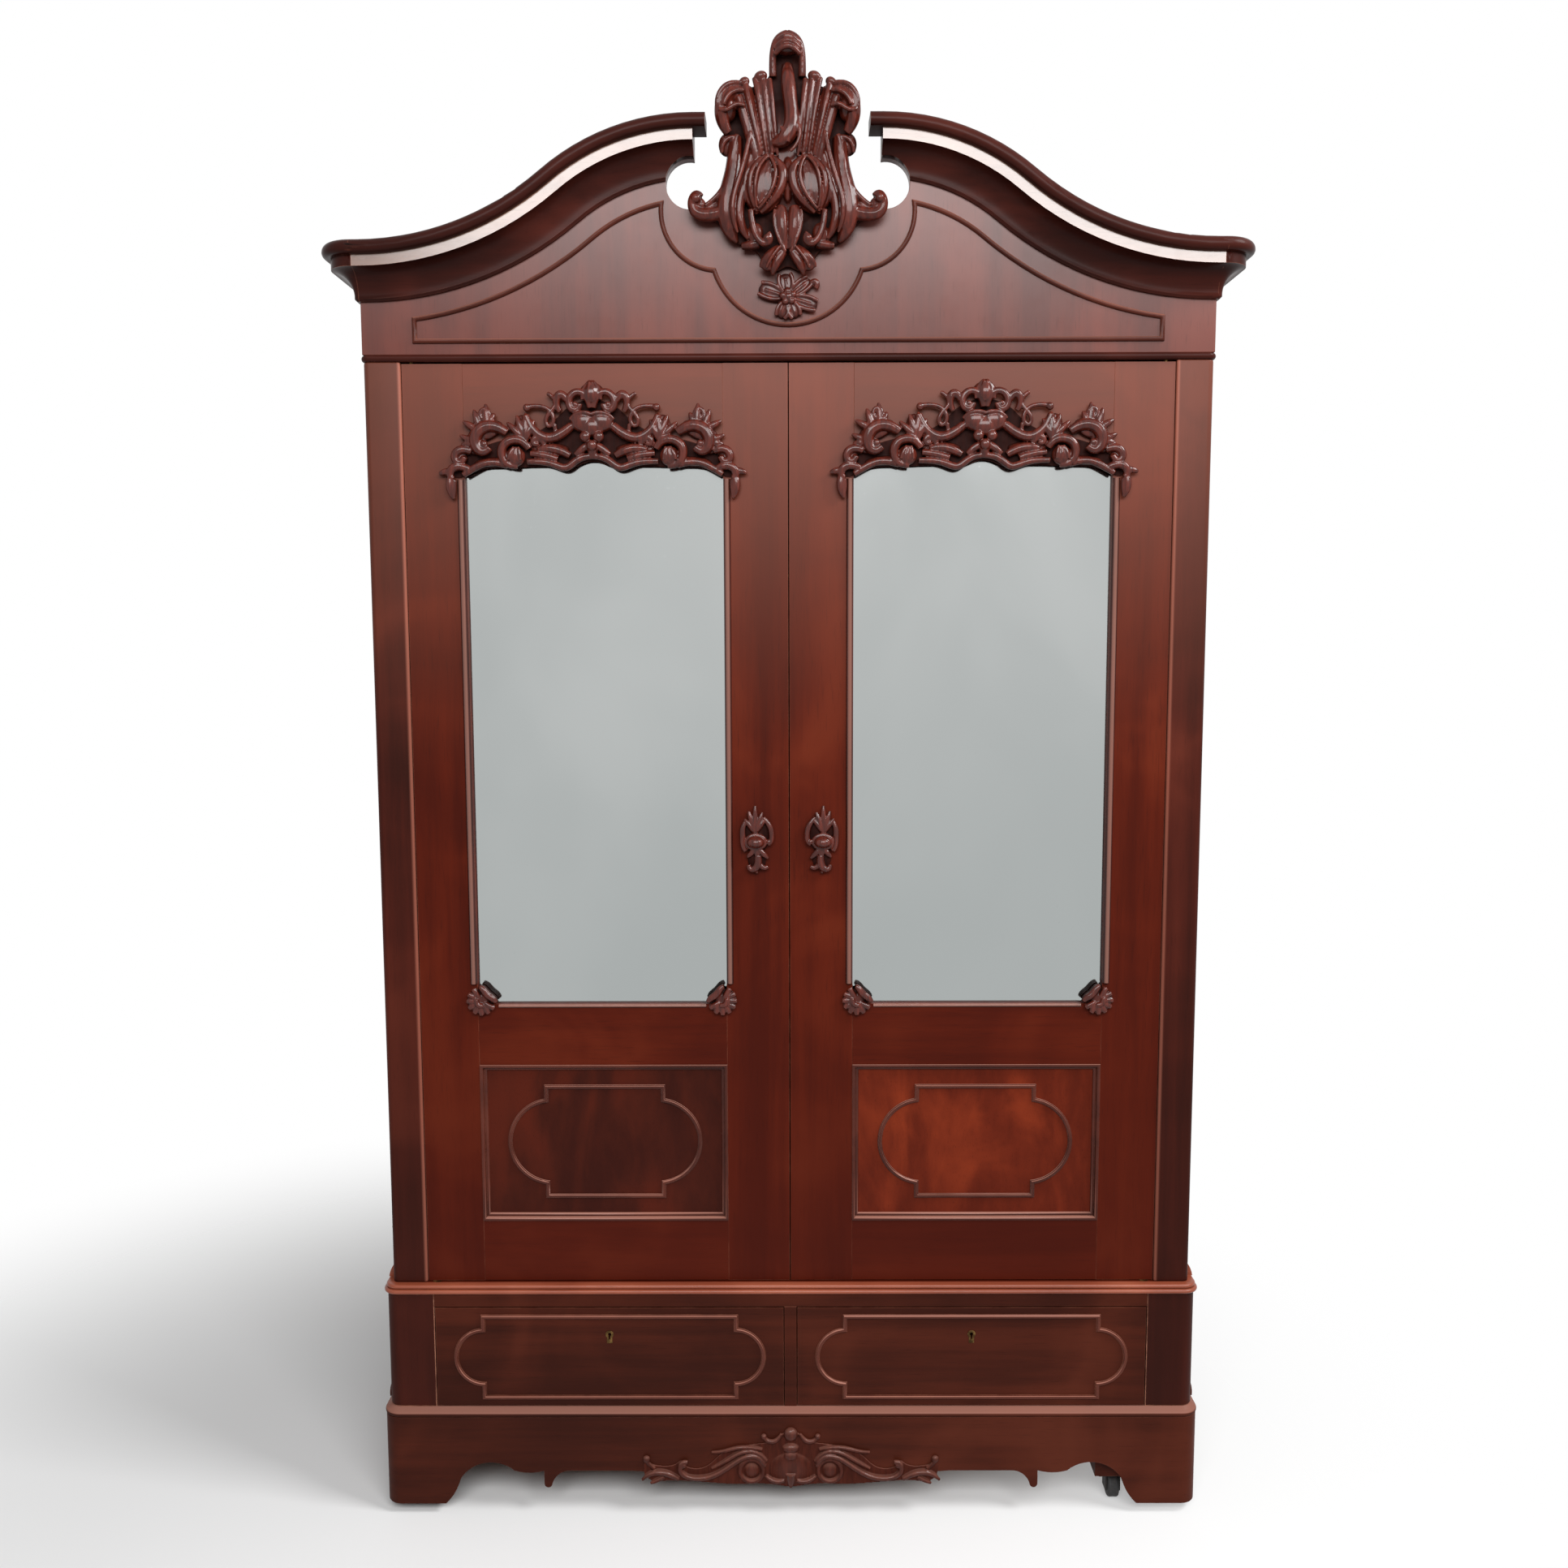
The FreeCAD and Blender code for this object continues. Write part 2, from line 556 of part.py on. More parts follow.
def apron_carving(face):
    """Leaf and scroll carving on the apron: a shaped plate, two round scrolls and a bud."""
    low = s.foot_clearance + s.apron_carving_low
    edge = shaped(APRON_CARVING_SHARES, s.apron_carving_half, low, plinth_top - s.apron_carving_top_gap - low)
    deep = s.apron_carving_depth
    proud = deep + s.apron_carving_relief
    plate = padded("apron_plate", "XZ", both_sides(edge), face - deep, face)
    scroll = rod("apron_scroll", s.apron_scroll_radius, proud,
                 (s.apron_scroll_place, face - proud, low + s.apron_scroll_rise), "y")
    bud = egg("apron_bud", (0, face - deep, low + s.apron_bud_rise),
              s.apron_bud_wide, s.apron_carving_relief, s.apron_bud_long)
    node("apron_carving", fuse("apron_ornament", plate, bud, *both("apron_scroll", scroll)))


def drawer_case():
    """Bed, posts, rails and panels of the drawer case, and the floor with its ledge on top."""
    guide_x = case_half - s.case_post_width
    guides = [board(f"guide_{hand}", span(side, guide_x, guide_x + s.guide_width),
                    (case_front + s.case_post_depth, inside_back), (bed_top, bed_top + s.guide_height))
              for hand, side in HANDS.items()]
    guides.append(board("guide_middle", around(0, s.muntin_width),
                        (case_front + s.case_rail_depth, inside_back), (bed_top, bed_top + s.guide_height)))
    node("drawer_bed", rounded_slab("bed_board", plinth_top, bed_top), *guides)

    r = s.case_corner
    rear = case_front + s.case_post_depth
    outline = [(guide_x, case_front), (case_half - r, case_front, r), (case_half, case_front + r),
               (case_half, rear), (guide_x, rear)]
    node("case_posts", *both("case_post", padded("case_post", "XY", outline, bed_top, case_top)))

    rail_low = case_top - s.case_rail_height
    deep = (case_front, case_front + s.case_rail_depth)
    rail = board("drawer_rail", (-guide_x, guide_x), deep, (rail_low, case_top))
    slots = [board(f"bolt_slot_{hand}", around(side * drawer_middle, s.bolt_width + 2 * s.bolt_slack),
                   around(bolt_y, s.bolt_depth + 2 * s.bolt_slack), (rail_low, rail_low + s.bolt_throw))
             for hand, side in HANDS.items()]
    muntin = board("drawer_muntin", around(0, s.muntin_width), deep, (bed_top, rail_low))
    node("case_rails", cut("slotted_rail", rail, *slots), muntin)

    pieces = [board(f"case_side_{hand}", span(side, case_half - s.case_side, case_half), (rear, back),
                    (bed_top, case_top)) for hand, side in HANDS.items()]
    inner = case_half - s.case_side
    pieces.append(board("case_back", (-inner, inner), (inside_back, back), (bed_top, case_top)))
    node("case_sides", *pieces)

    seats = [rod(f"pivot_seat_{hand}", s.pivot_radius + s.running_slack, s.pivot_seat,
                 (side * pivot_x, pivot_y, floor_top - s.pivot_seat)) for hand, side in HANDS.items()]
    slot = slide_bolt_slot("floor_bolt_slot", (floor_top - s.slide_bolt_throw, floor_top))
    slab = rounded_slab("floor_slab", case_top, floor_top)
    node("wardrobe_floor", cut("floor_board", slab, *seats, slot))

    out, step, high = s.ledge_reach, s.ledge_step, s.floor_thickness
    lower = out - step
    upper = lower - step
    roll = bulge((0, 0), (0, high / 2), step)
    profile = [(0, 0), (lower, 0, roll), (lower, high / 2), (upper, high / 2, roll), (upper, high), (0, high)]
    node("ledge_moulding", *ring_moulding("ledge", profile, case_top),
         *side_coves("ledge_cove", half, floor_top, s.ledge_cove_height, s.ledge_cove_reach))


def slide_bolt_slot(name, z):
    """Recess that one of the left door's slide bolts enters."""
    wide = s.slide_bolt_width + 2 * s.bolt_slack
    deep = s.slide_bolt_depth + 2 * s.bolt_slack
    return board(name, around(-s.slide_bolt_place, wide), around(slide_y, deep), z)


def hanging_space():
    """Corner posts, sides, back, head rail and top, with the shelf and the hanging rail inside."""
    near = half - s.post_width
    r, a = s.body_corner, s.post_arris
    rear = front + s.post_depth
    outline = [(near, rear), (near, front + a, a), (near + a, front), (half - r, front, r),
               (half, front + r), (half, rear)]
    node("corner_posts", *both("corner_post", padded("corner_post", "XY", outline, floor_top, post_top)))
    node("side_panels", *[board(f"side_{hand}", span(side, half - s.side_thickness, half), (rear, back),
                                (floor_top, post_top)) for hand, side in HANDS.items()])
    inner = half - s.side_thickness
    width = 2 * inner / BACK_BOARDS
    planks = []
    for i in range(BACK_BOARDS):
        left = width * i - inner
        planks.append(board(f"back_board_{i}", (left, left + width - s.back_board_gap), (inside_back, back),
                            (floor_top, post_top)))
    node("back_boards", *planks)

    # the head rail stops short of the posts, where the doors turn on their pivots
    rail_low = post_top - s.head_rail_height
    rail_end = near - s.head_rail_end_gap
    head = board("head", (-rail_end, rail_end), (door_back, door_back + s.head_rail_depth),
                 (rail_low, post_top))
    slot = slide_bolt_slot("head_bolt_slot", (rail_low, rail_low + s.slide_bolt_throw))
    node("head_rail", cut("slotted_head", head, slot))

    seats = [rod(f"head_seat_{hand}", s.pivot_radius + s.running_slack, s.pivot_seat,
                 (side * pivot_x, pivot_y, post_top)) for hand, side in HANDS.items()]
    nose = s.top_thickness
    profile = [(0, 0, bulge((0, 0), (0, nose), s.top_bead_reach)), (0, nose)]
    node("carcase_top", cut("top_board", rounded_slab("top_slab", post_top, frieze_low), *seats),
         *ring_moulding("top_bead", profile, post_top))

    shelf_low = post_top - s.hat_space_height - s.shelf_thickness
    shelf_front = front + s.shelf_setback
    node("hat_shelf", board("shelf", (-inner, inner), (shelf_front, inside_back),
                            (shelf_low, shelf_low + s.shelf_thickness)))
    rail_y = (front + back) / 2
    rail_z = shelf_low - s.rail_drop
    cleats = []
    for hand, side in HANDS.items():
        x = span(side, inner - s.cleat_thickness, inner)
        plank = board(f"cleat_{hand}", x, (shelf_front, inside_back),
                      (shelf_low - s.cleat_height, shelf_low))
        hole = rod(f"rail_hole_{hand}", s.rail_radius + s.running_slack, s.cleat_thickness,
                   (x[0], rail_y, rail_z), "x")
        cleats.append(cut(f"bored_cleat_{hand}", plank, hole))
    node("rail_cleats", *cleats)
    reach = inner - s.rail_end_gap
    node("hanging_rail", rod("rail", s.rail_radius, 2 * reach, (-reach, rail_y, rail_z), "x"))


def pediment():
    """Frieze, swan-neck crown and cove with their returns, the bead panel and the crest."""
    run_end = half - s.arm_flat
    run = run_end - s.arm_inner
    both_radii = (s.arm_rise * s.arm_rise + run * run) / (2 * s.arm_rise)
    lower = both_radii * s.arm_lower_share
    upper = both_radii - lower
    turn_x = run_end - lower * run / both_radii
    turn_z = arm_low + lower * s.arm_rise / both_radii
    notch_z = arm_high - s.notch_drop
    beside = s.notch_place - s.arm_inner
    notch_top = notch_z + (s.notch_radius * s.notch_radius - beside * beside).root()
    saddle = notch_z - s.notch_radius
    outline = [
        (0, saddle), (s.notch_place, saddle, s.notch_radius),
        (s.notch_place + s.notch_radius, notch_z, s.notch_radius), (s.arm_inner, notch_top),
        (s.arm_inner, arm_high, -upper), (turn_x, turn_z, lower), (run_end, arm_low), (half, arm_low),
        (half, frieze_low), (0, frieze_low),
    ]
    node("frieze_board", padded("frieze", "XZ", both_sides(outline), front, front + s.frieze_thickness))
    inner = half - s.side_thickness
    pieces = [board(f"pediment_side_{hand}", span(side, inner, half), (front + s.frieze_thickness, back),
                    (frieze_low, arm_low)) for hand, side in HANDS.items()]
    pieces.append(board("pediment_back", (-inner, inner), (back - s.side_thickness, back),
                        (frieze_low, arm_low)))
    node("pediment_sides", *pieces)

    arm = [(half, arm_low), (run_end, arm_low, -lower), (turn_x, turn_z, upper), (s.arm_inner, arm_high)]
    upright = Rotation(Vector(1, 0, 0), 90)
    down = -s.crown_height
    nose = s.cornice_reach
    crown = [(0, down), (nose - s.crown_nose_lower, down, s.crown_nose_lower),
             (nose, down + s.crown_nose_lower, s.crown_nose_upper), (nose - s.crown_nose_upper, 0), (0, 0)]
    fascia_low = down - s.fascia_height
    cove_low = fascia_low - s.cove_height
    foot = cove_low - s.cove_foot
    hollow = bulge((s.cove_foot_reach, cove_low), (s.cove_top_reach, fascia_low), s.cove_bow)
    cove = [(0, foot - s.cove_lip), (s.cove_foot_reach - s.cove_lip, foot - s.cove_lip),
            (s.cove_foot_reach, foot), (s.cove_foot_reach, cove_low, -hollow), (s.cove_top_reach, fascia_low),
            (s.fascia_reach, fascia_low), (s.fascia_reach, down), (0, down)]
    notch = rod("arm_notch", s.notch_radius, 2 * s.cornice_reach,
                (s.notch_place, front - s.cornice_reach, notch_z), "y")
    crown_tail = [(s.arm_inner - s.crown_end, arm_high)]
    for name, profile, tail in (("crown", crown, crown_tail), ("cove", cove, [])):
        start = section(f"{name}_section", profile, half, front, arm_low, "front")
        beside_start = section(f"{name}_side_section", profile, half, front, arm_low, "right")
        route = path(f"{name}_path", arm + tail, 0, front, 0, upright, False)
        stick = swept(f"{name}_arm", start, route)
        if name == "cove":
            stick = cut("notched_cove", stick, notch)
        corner = turned(f"{name}_corner", start, half, front)
        side = drawn_out(f"{name}_side", beside_start, Vector(0, 1, 0), back - front)
        pieces = [*both(f"{name}_arm", stick), *both(f"{name}_corner", corner), *both(f"{name}_side", side)]
        node(f"{name}_moulding", *pieces)

    # the bead keeps one distance from the arms, then drops into a round lobe in the middle
    centre_low = (run_end, arm_low + lower)
    centre_high = (s.arm_inner, arm_high - upper)
    wide = lower + s.panel_offset
    tight = upper - s.panel_offset
    end_x = half - s.panel_end_gap
    low = frieze_low + s.panel_low_gap
    end_off = run_end - end_x
    end_z = centre_low[1] - (wide * wide - end_off * end_off).root()
    meet_x = centre_high[0] + tight * run / both_radii
    meet_z = centre_high[1] + tight * (both_radii - s.arm_rise) / both_radii
    shoulder_off = s.panel_shoulder - s.arm_inner
    shoulder_z = centre_high[1] + (tight * tight - shoulder_off * shoulder_off).root()
    lobe_z = frieze_low + s.lobe_height
    lobe = bulge((-s.lobe_half, lobe_z), (s.lobe_half, lobe_z), s.lobe_height - s.lobe_low)
    right = [(end_x, low), (end_x, end_z, -wide), (meet_x, meet_z, tight),
             (s.panel_shoulder, shoulder_z, -s.lobe_side_radius), (s.lobe_half, lobe_z, -lobe)]
    left = [(-s.lobe_half, lobe_z, -s.lobe_side_radius), (-s.panel_shoulder, shoulder_z, tight),
            (-meet_x, meet_z, -wide), (-end_x, end_z)]
    node("frieze_panel_bead", bead_ring("frieze_bead", [(-end_x, low)] + right + left, front))
    crest()


def crest():
    """Carved crest: a waisted shield with rolled ears, a plume head, side volutes, two pods and a bud."""
    low = frieze_low + s.crest_low
    deep = s.crest_depth
    proud = deep + s.crest_relief
    edge = shaped(CREST_SHARES, s.crest_half, low, s.crest_height)
    shield = padded("crest_shield", "XZ", both_sides(edge), front - deep, front)
    relief = s.crest_relief
    face = front - deep
    ear = rod("crest_ear", s.crest_ear_radius, proud,
              (s.crest_ear_place, front - proud, low + s.crest_ear_rise), "y")
    volute = rod("crest_volute", s.crest_volute_radius, deep + relief / 2,
                 (s.crest_volute_place, face - relief / 2, low + s.crest_volute_rise), "y")
    pod = egg("crest_pod", (s.pod_place, face, low + s.pod_rise), s.pod_wide, relief, s.pod_long,
              -POD_LEAN_ANGLE)
    bud = egg("crest_bud", (0, face, low + s.bud_rise), s.bud_wide, relief, s.bud_long)
    head = egg("crest_head", (0, face, low + s.crest_head_rise), s.crest_head_wide, relief,
               s.crest_head_long)
    node("crest_carving", fuse("crest", shield, bud, head, *both("crest_ear", ear),
                               *both("crest_volute", volute), *both("crest_pod", pod)))

    centre_z = frieze_low + s.flower_rise
    deep = s.flower_depth
    parts = [rod("flower_heart", s.flower_radius, deep, (0, front - deep, centre_z), "y")]
    for i in range(FLOWER_PETALS):
        angle = 2 * math.pi * i / FLOWER_PETALS
        x = s.flower_reach * math.sin(angle)
        z = centre_z + s.flower_reach * math.cos(angle)
        parts.append(rod(f"flower_petal_{i}", s.flower_petal, deep / 2, (x, front - deep / 2, z), "y"))
    node("crest_flower", fuse("flower", *parts))


def door(hand, side):
    """One door: frame, mirror, panels, mouldings, carvings and pull."""
    inner = door_inner + s.meeting_stile
    outer = door_outer - s.hinge_stile
    panel_low = door_low + s.bottom_rail
    panel_high = panel_low + s.panel_opening
    mirror_low = panel_high + s.lock_rail
    mirror_high = door_high - s.top_rail
    deep = (door_front, door_back)
    lip = door_front + s.door_lip
    behind = (lip, door_back)
    openings = ((panel_low, panel_high), (mirror_low, mirror_high))

    def rebated(name, x, z, grooves):
        cuts = [board(f"{name}_rebate_{i}", *groove) for i, groove in enumerate(grooves)]
        return board(name, x, deep, z), cuts

    stiles = []
    for place_name, x, groove_x in (("meeting", (door_inner, inner), (inner - s.rebate, inner)),
                                    ("hinge", (outer, door_outer), (outer, outer + s.rebate))):
        grooves = [(span(side, *groove_x), behind, (low - s.rebate, high + s.rebate))
                   for low, high in openings]
        bar, cuts = rebated(f"{hand}_{place_name}_stile", span(side, *x), (door_low, door_high), grooves)
        if place_name == "hinge":
            for end, z in (("low", door_low), ("high", door_high - s.pivot_grip)):
                cuts.append(rod(f"{hand}_pin_hole_{end}", s.pivot_radius, s.pivot_grip,
                                (side * pivot_x, pivot_y, z)))
        stiles.append(cut(f"{hand}_{place_name}_stile_cut", bar, *cuts))
    node(f"{hand}_door_stiles", *stiles)

    across = span(side, inner, outer)
    rails = []
    for place_name, low, high, grooves in (
            ("bottom", door_low, panel_low, [(panel_low - s.rebate, panel_low)]),
            ("lock", panel_high, mirror_low, [(panel_high, panel_high + s.rebate),
                                              (mirror_low - s.rebate, mirror_low)]),
            ("top", mirror_high, door_high, [(mirror_high, mirror_high + s.rebate)])):
        bar, cuts = rebated(f"{hand}_{place_name}_rail", across, (low, high),
                            [(across, behind, z) for z in grooves])
        rails.append(cut(f"{hand}_{place_name}_rail_cut", bar, *cuts))
    node(f"{hand}_door_rails", *rails)

    grip = s.rebate - s.rebate_slack
    wide = span(side, inner - grip, outer + grip)
    tall = (mirror_low - grip, mirror_high + grip)
    glass_back = lip + s.mirror_thickness
    node(f"{hand}_mirror", board(f"{hand}_mirror_glass", wide, (lip, glass_back), tall))
    panel = board(f"{hand}_lower_panel", wide, (lip, lip + s.panel_thickness),
                  (panel_low - grip, panel_high + grip))
    backing = board(f"{hand}_mirror_backing", wide, (glass_back, glass_back + s.mirror_back), tall)
    node(f"{hand}_door_panels", panel, backing)

    shell_reach = s.shell_offset + s.shell_radius + s.shell_lobe + s.seat_gap
    bead_x = s.mirror_bead_width
    beads = []
    for place_name, low_x in (("meeting", inner - bead_x), ("hinge", outer)):
        x = span(side, low_x, low_x + bead_x)
        arc = bulge((x[0], 0), (x[1], 0), s.mirror_bead_height)
        outline = [(x[0], door_front, arc), (x[1], door_front)]
        beads.append(padded(f"{hand}_{place_name}_bead", "XY", outline,
                            mirror_low + shell_reach, mirror_high - s.mirror_bead_top_gap))
    low_z = mirror_low - s.bottom_bead_width
    arc = bulge((0, low_z), (0, mirror_low), s.bottom_bead_height)
    beads.append(padded(f"{hand}_bottom_bead", "YZ", [(door_front, low_z), (door_front, mirror_low, arc)],
                        *span(side, inner + shell_reach, outer - shell_reach)))
    node(f"{hand}_mirror_bead", *beads)

    middle = side * (inner + outer) / 2
    half_open = (outer - inner) / 2
    frame_path = path(f"{hand}_frame_path", [
        (middle, panel_low), (middle + half_open, panel_low), (middle + half_open, panel_high),
        (middle - half_open, panel_high), (middle - half_open, panel_low)], 0, lip, 0,
        Rotation(Vector(1, 0, 0), 90), True)
    w, step, bow = s.panel_frame_width, s.panel_frame_step, s.panel_frame_bow
    high = s.door_lip + s.panel_frame_proud
    profile = [(0, 0), (high, 0, bulge((high, 0), (high - step, w / 2), bow)), (high - step, w / 2),
               (high - 2 * step, w / 2, bulge((high - 2 * step, w / 2), (0, w), bow)), (0, w)]
    frame_section = section(f"{hand}_frame_section", profile, middle, lip, panel_low, "front")
    frame = swept(f"{hand}_panel_frame", frame_section, frame_path)
    bead = cartouche(f"{hand}_cartouche", middle, panel_low + s.cartouche_edge, half_open - s.cartouche_end,
                     s.cartouche_bow, s.panel_opening - 2 * s.cartouche_edge, s.cartouche_step, lip)
    node(f"{hand}_panel_mouldings", frame, bead)
    door_carvings(hand, side, middle, (inner, outer), mirror_low, mirror_high)
    door_pull(hand, side)


def door_carvings(hand, side, middle, sides, mirror_low, mirror_high):
    """Arched carving over the mirror and a shell in each lower corner of the mirror."""
    deep = s.door_carving_depth
    low = mirror_high - s.door_carving_sag
    # the end leaf hangs beside the mirror bead, and the carving starts just over the bead's end
    beside = (sides[1] - sides[0]) / 2 + s.mirror_bead_width + s.seat_gap
    reach = beside + s.door_carving_end
    upper = shaped(DOOR_CARVING_SHARES, reach, low, s.door_carving_sag + s.top_rail - s.door_carving_top_gap)
    bead_end = mirror_high - s.mirror_bead_top_gap + s.seat_gap
    lower = [(reach * across, mirror_high + s.door_carving_dip * up)
             for across, up in DOOR_CARVING_DIP_SHARES]
    edge = both_sides(upper + [(beside, low + s.seat_gap), (beside, bead_end)] + lower)
    face = door_front - deep
    plate = padded(f"{hand}_carving_plate", "XZ", [(middle + x, z) for x, z in edge], face, door_front)
    heart = egg(f"{hand}_carving_heart", (middle, face, mirror_high + s.heart_rise),
                s.heart_wide, s.heart_relief, s.heart_long)
    pieces = [fuse(f"{hand}_carving", plate, heart)]
    for name, edge_x, way in (("meeting", sides[0], -1), ("hinge", sides[1], 1)):
        x = side * (edge_x - way * s.shell_offset)
        z = mirror_low + s.shell_offset
        thin = s.shell_depth - s.shell_step
        parts = [rod(f"{hand}_{name}_shell", s.shell_radius, s.shell_depth,
                     (x, door_front - s.shell_depth, z), "y")]
        for i in range(SHELL_LOBES):
            angle = math.radians(SHELL_FAN_ANGLE * (i / (SHELL_LOBES - 1) - 0.5) - SHELL_AIM_ANGLE)
            lobe_x = x + side * way * s.shell_radius * math.cos(angle)
            lobe_z = z + s.shell_radius * math.sin(angle)
            parts.append(rod(f"{hand}_{name}_lobe_{i}", s.shell_lobe, thin,
                             (lobe_x, door_front - thin, lobe_z), "y"))
        pieces.append(fuse(f"{hand}_{name}_shell_whole", *parts))
    node(f"{hand}_door_carvings", *pieces)


def door_pull(hand, side):
    """Carved pull: a pointed oval plate with a round grip."""
    x, low = side * s.pull_place, door_low + s.pull_height - s.pull_long / 2
    edge = both_sides(shaped(PULL_SHARES, s.pull_wide / 2, low, s.pull_long))
    face = door_front - s.pull_depth
    plate = padded(f"{hand}_pull_plate", "XZ", [(x + across, z) for across, z in edge], face, door_front)
    middle = door_low + s.pull_height
    knob = egg(f"{hand}_pull_knob", (x, face, middle), s.pull_knob_wide, s.pull_knob_reach, s.pull_knob_high)
    # the knob is cut off flat where it meets the door
    behind = board(f"{hand}_pull_behind", around(x, 2 * s.pull_knob_wide),
                   (door_front, door_front + s.pull_knob_reach), around(middle, 2 * s.pull_knob_high))
    node(f"{hand}_door_pull", cut(f"{hand}_pull", fuse(f"{hand}_pull_block", plate, knob), behind))


def door_fittings():
    """Pivot pins of both doors, the left door's slide bolts and keeper, and the right door's lock."""
    pins = {}
    for hand, side in HANDS.items():
        x = side * pivot_x
        foot = rod(f"{hand}_pivot_low", s.pivot_radius, s.pivot_grip + s.door_bottom_gap + s.pivot_reach,
                   (x, pivot_y, floor_top - s.pivot_reach))
        collar = rod(f"{hand}_pivot_collar", s.pivot_collar, s.door_bottom_gap - s.collar_gap,
                     (x, pivot_y, floor_top + s.collar_gap))
        head = rod(f"{hand}_pivot_high", s.pivot_radius, s.pivot_grip + s.door_top_gap + s.pivot_reach,
                   (x, pivot_y, door_high - s.pivot_grip))
        pins[hand] = [fuse(f"{hand}_foot_pivot", foot, collar), head]

    wide = around(-s.slide_bolt_place, s.staple_width)
    bar_x = around(-s.slide_bolt_place, s.slide_bolt_width)
    bar_y = around(slide_y, s.slide_bolt_depth)
    hole_x = around(-s.slide_bolt_place, s.slide_bolt_width + 2 * s.bolt_slack)
    hole_y = around(slide_y, s.slide_bolt_depth + 2 * s.bolt_slack)
    plates = []
    head_low = post_top - s.head_rail_height
    for name, tip, way in (("upper", head_low - s.slide_bolt_rest, -1),
                           ("lower", door_low + s.slide_bolt_rest, 1)):
        tail = tip + way * s.slide_bolt_length
        bar_z = (tail, tip) if way < 0 else (tip, tail)
        first = tip + way * s.slide_bolt_throw
        last = tail - way * s.staple_height
        ends = [sorted((z, z + way * s.staple_height), key=float)
                for z in (first, last - way * s.slide_bolt_throw)]
        plate_z = (min(ends[0][0], ends[1][0], key=float), max(ends[0][1], ends[1][1], key=float))
        base = board(f"{name}_bolt_base", wide, (door_back, door_back + s.staple_plate), plate_z)
        staples = [board(f"{name}_staple_{i}", wide, (door_back, hole_y[1] + s.staple_wall), end)
                   for i, end in enumerate(ends)]
        hole = board(f"{name}_bolt_hole", hole_x, hole_y, bar_z)
        plates.append(cut(f"{name}_bolt_plate", fuse(f"{name}_bolt_body", base, *staples), hole))
        knob_z = (ends[0][0] + ends[1][1]) / 2 if way > 0 else (ends[0][1] + ends[1][0]) / 2
        bar = board(f"{name}_bar", bar_x, bar_y, bar_z)
        knob = rod(f"{name}_knob", s.slide_knob_radius, s.slide_knob_reach + s.slide_bolt_depth / 2,
                   (-s.slide_bolt_place, slide_y, knob_z), "y")
        node(f"left_{name}_bolt", fuse(f"{name}_bolt", bar, knob))

    lock_z = door_low + s.pull_height
    bolt_deep = around(door_back + s.door_lock_depth / 2, s.lock_bolt_depth)
    slot_deep = around(door_back + s.door_lock_depth / 2, s.lock_bolt_depth + 2 * s.bolt_slack)
    bolt_tall = around(lock_z, s.lock_bolt_height)
    slot_tall = around(lock_z, s.lock_bolt_height + 2 * s.bolt_slack)
    deep = (door_back, door_back + s.door_lock_depth)
    keeper = board("keeper", (-s.door_lock_edge - s.keeper_width, -s.door_lock_edge), deep,
                   around(lock_z, s.keeper_height))
    mouth = board("keeper_mouth", (-s.door_lock_edge - s.lock_bolt_throw, -s.door_lock_edge),
                  slot_deep, slot_tall)
    case = board("door_lock_case", (s.door_lock_edge, s.door_lock_edge + s.door_lock_width), deep,
                 around(lock_z, s.door_lock_height))
    slot_end = s.door_lock_edge + s.lock_bolt_length + 2 * s.bolt_slack
    slot = board("door_lock_slot", (s.door_lock_edge, slot_end), slot_deep, slot_tall)
    node("left_door_fittings", *pins["left"], *plates, cut("bored_keeper", keeper, mouth))
    node("right_door_fittings", *pins["right"], cut("bored_lock", case, slot))
    tip = s.door_lock_edge + s.bolt_slack
    node("right_lock_bolt", board("door_lock_bolt", (tip, tip + s.lock_bolt_length), bolt_deep, bolt_tall))


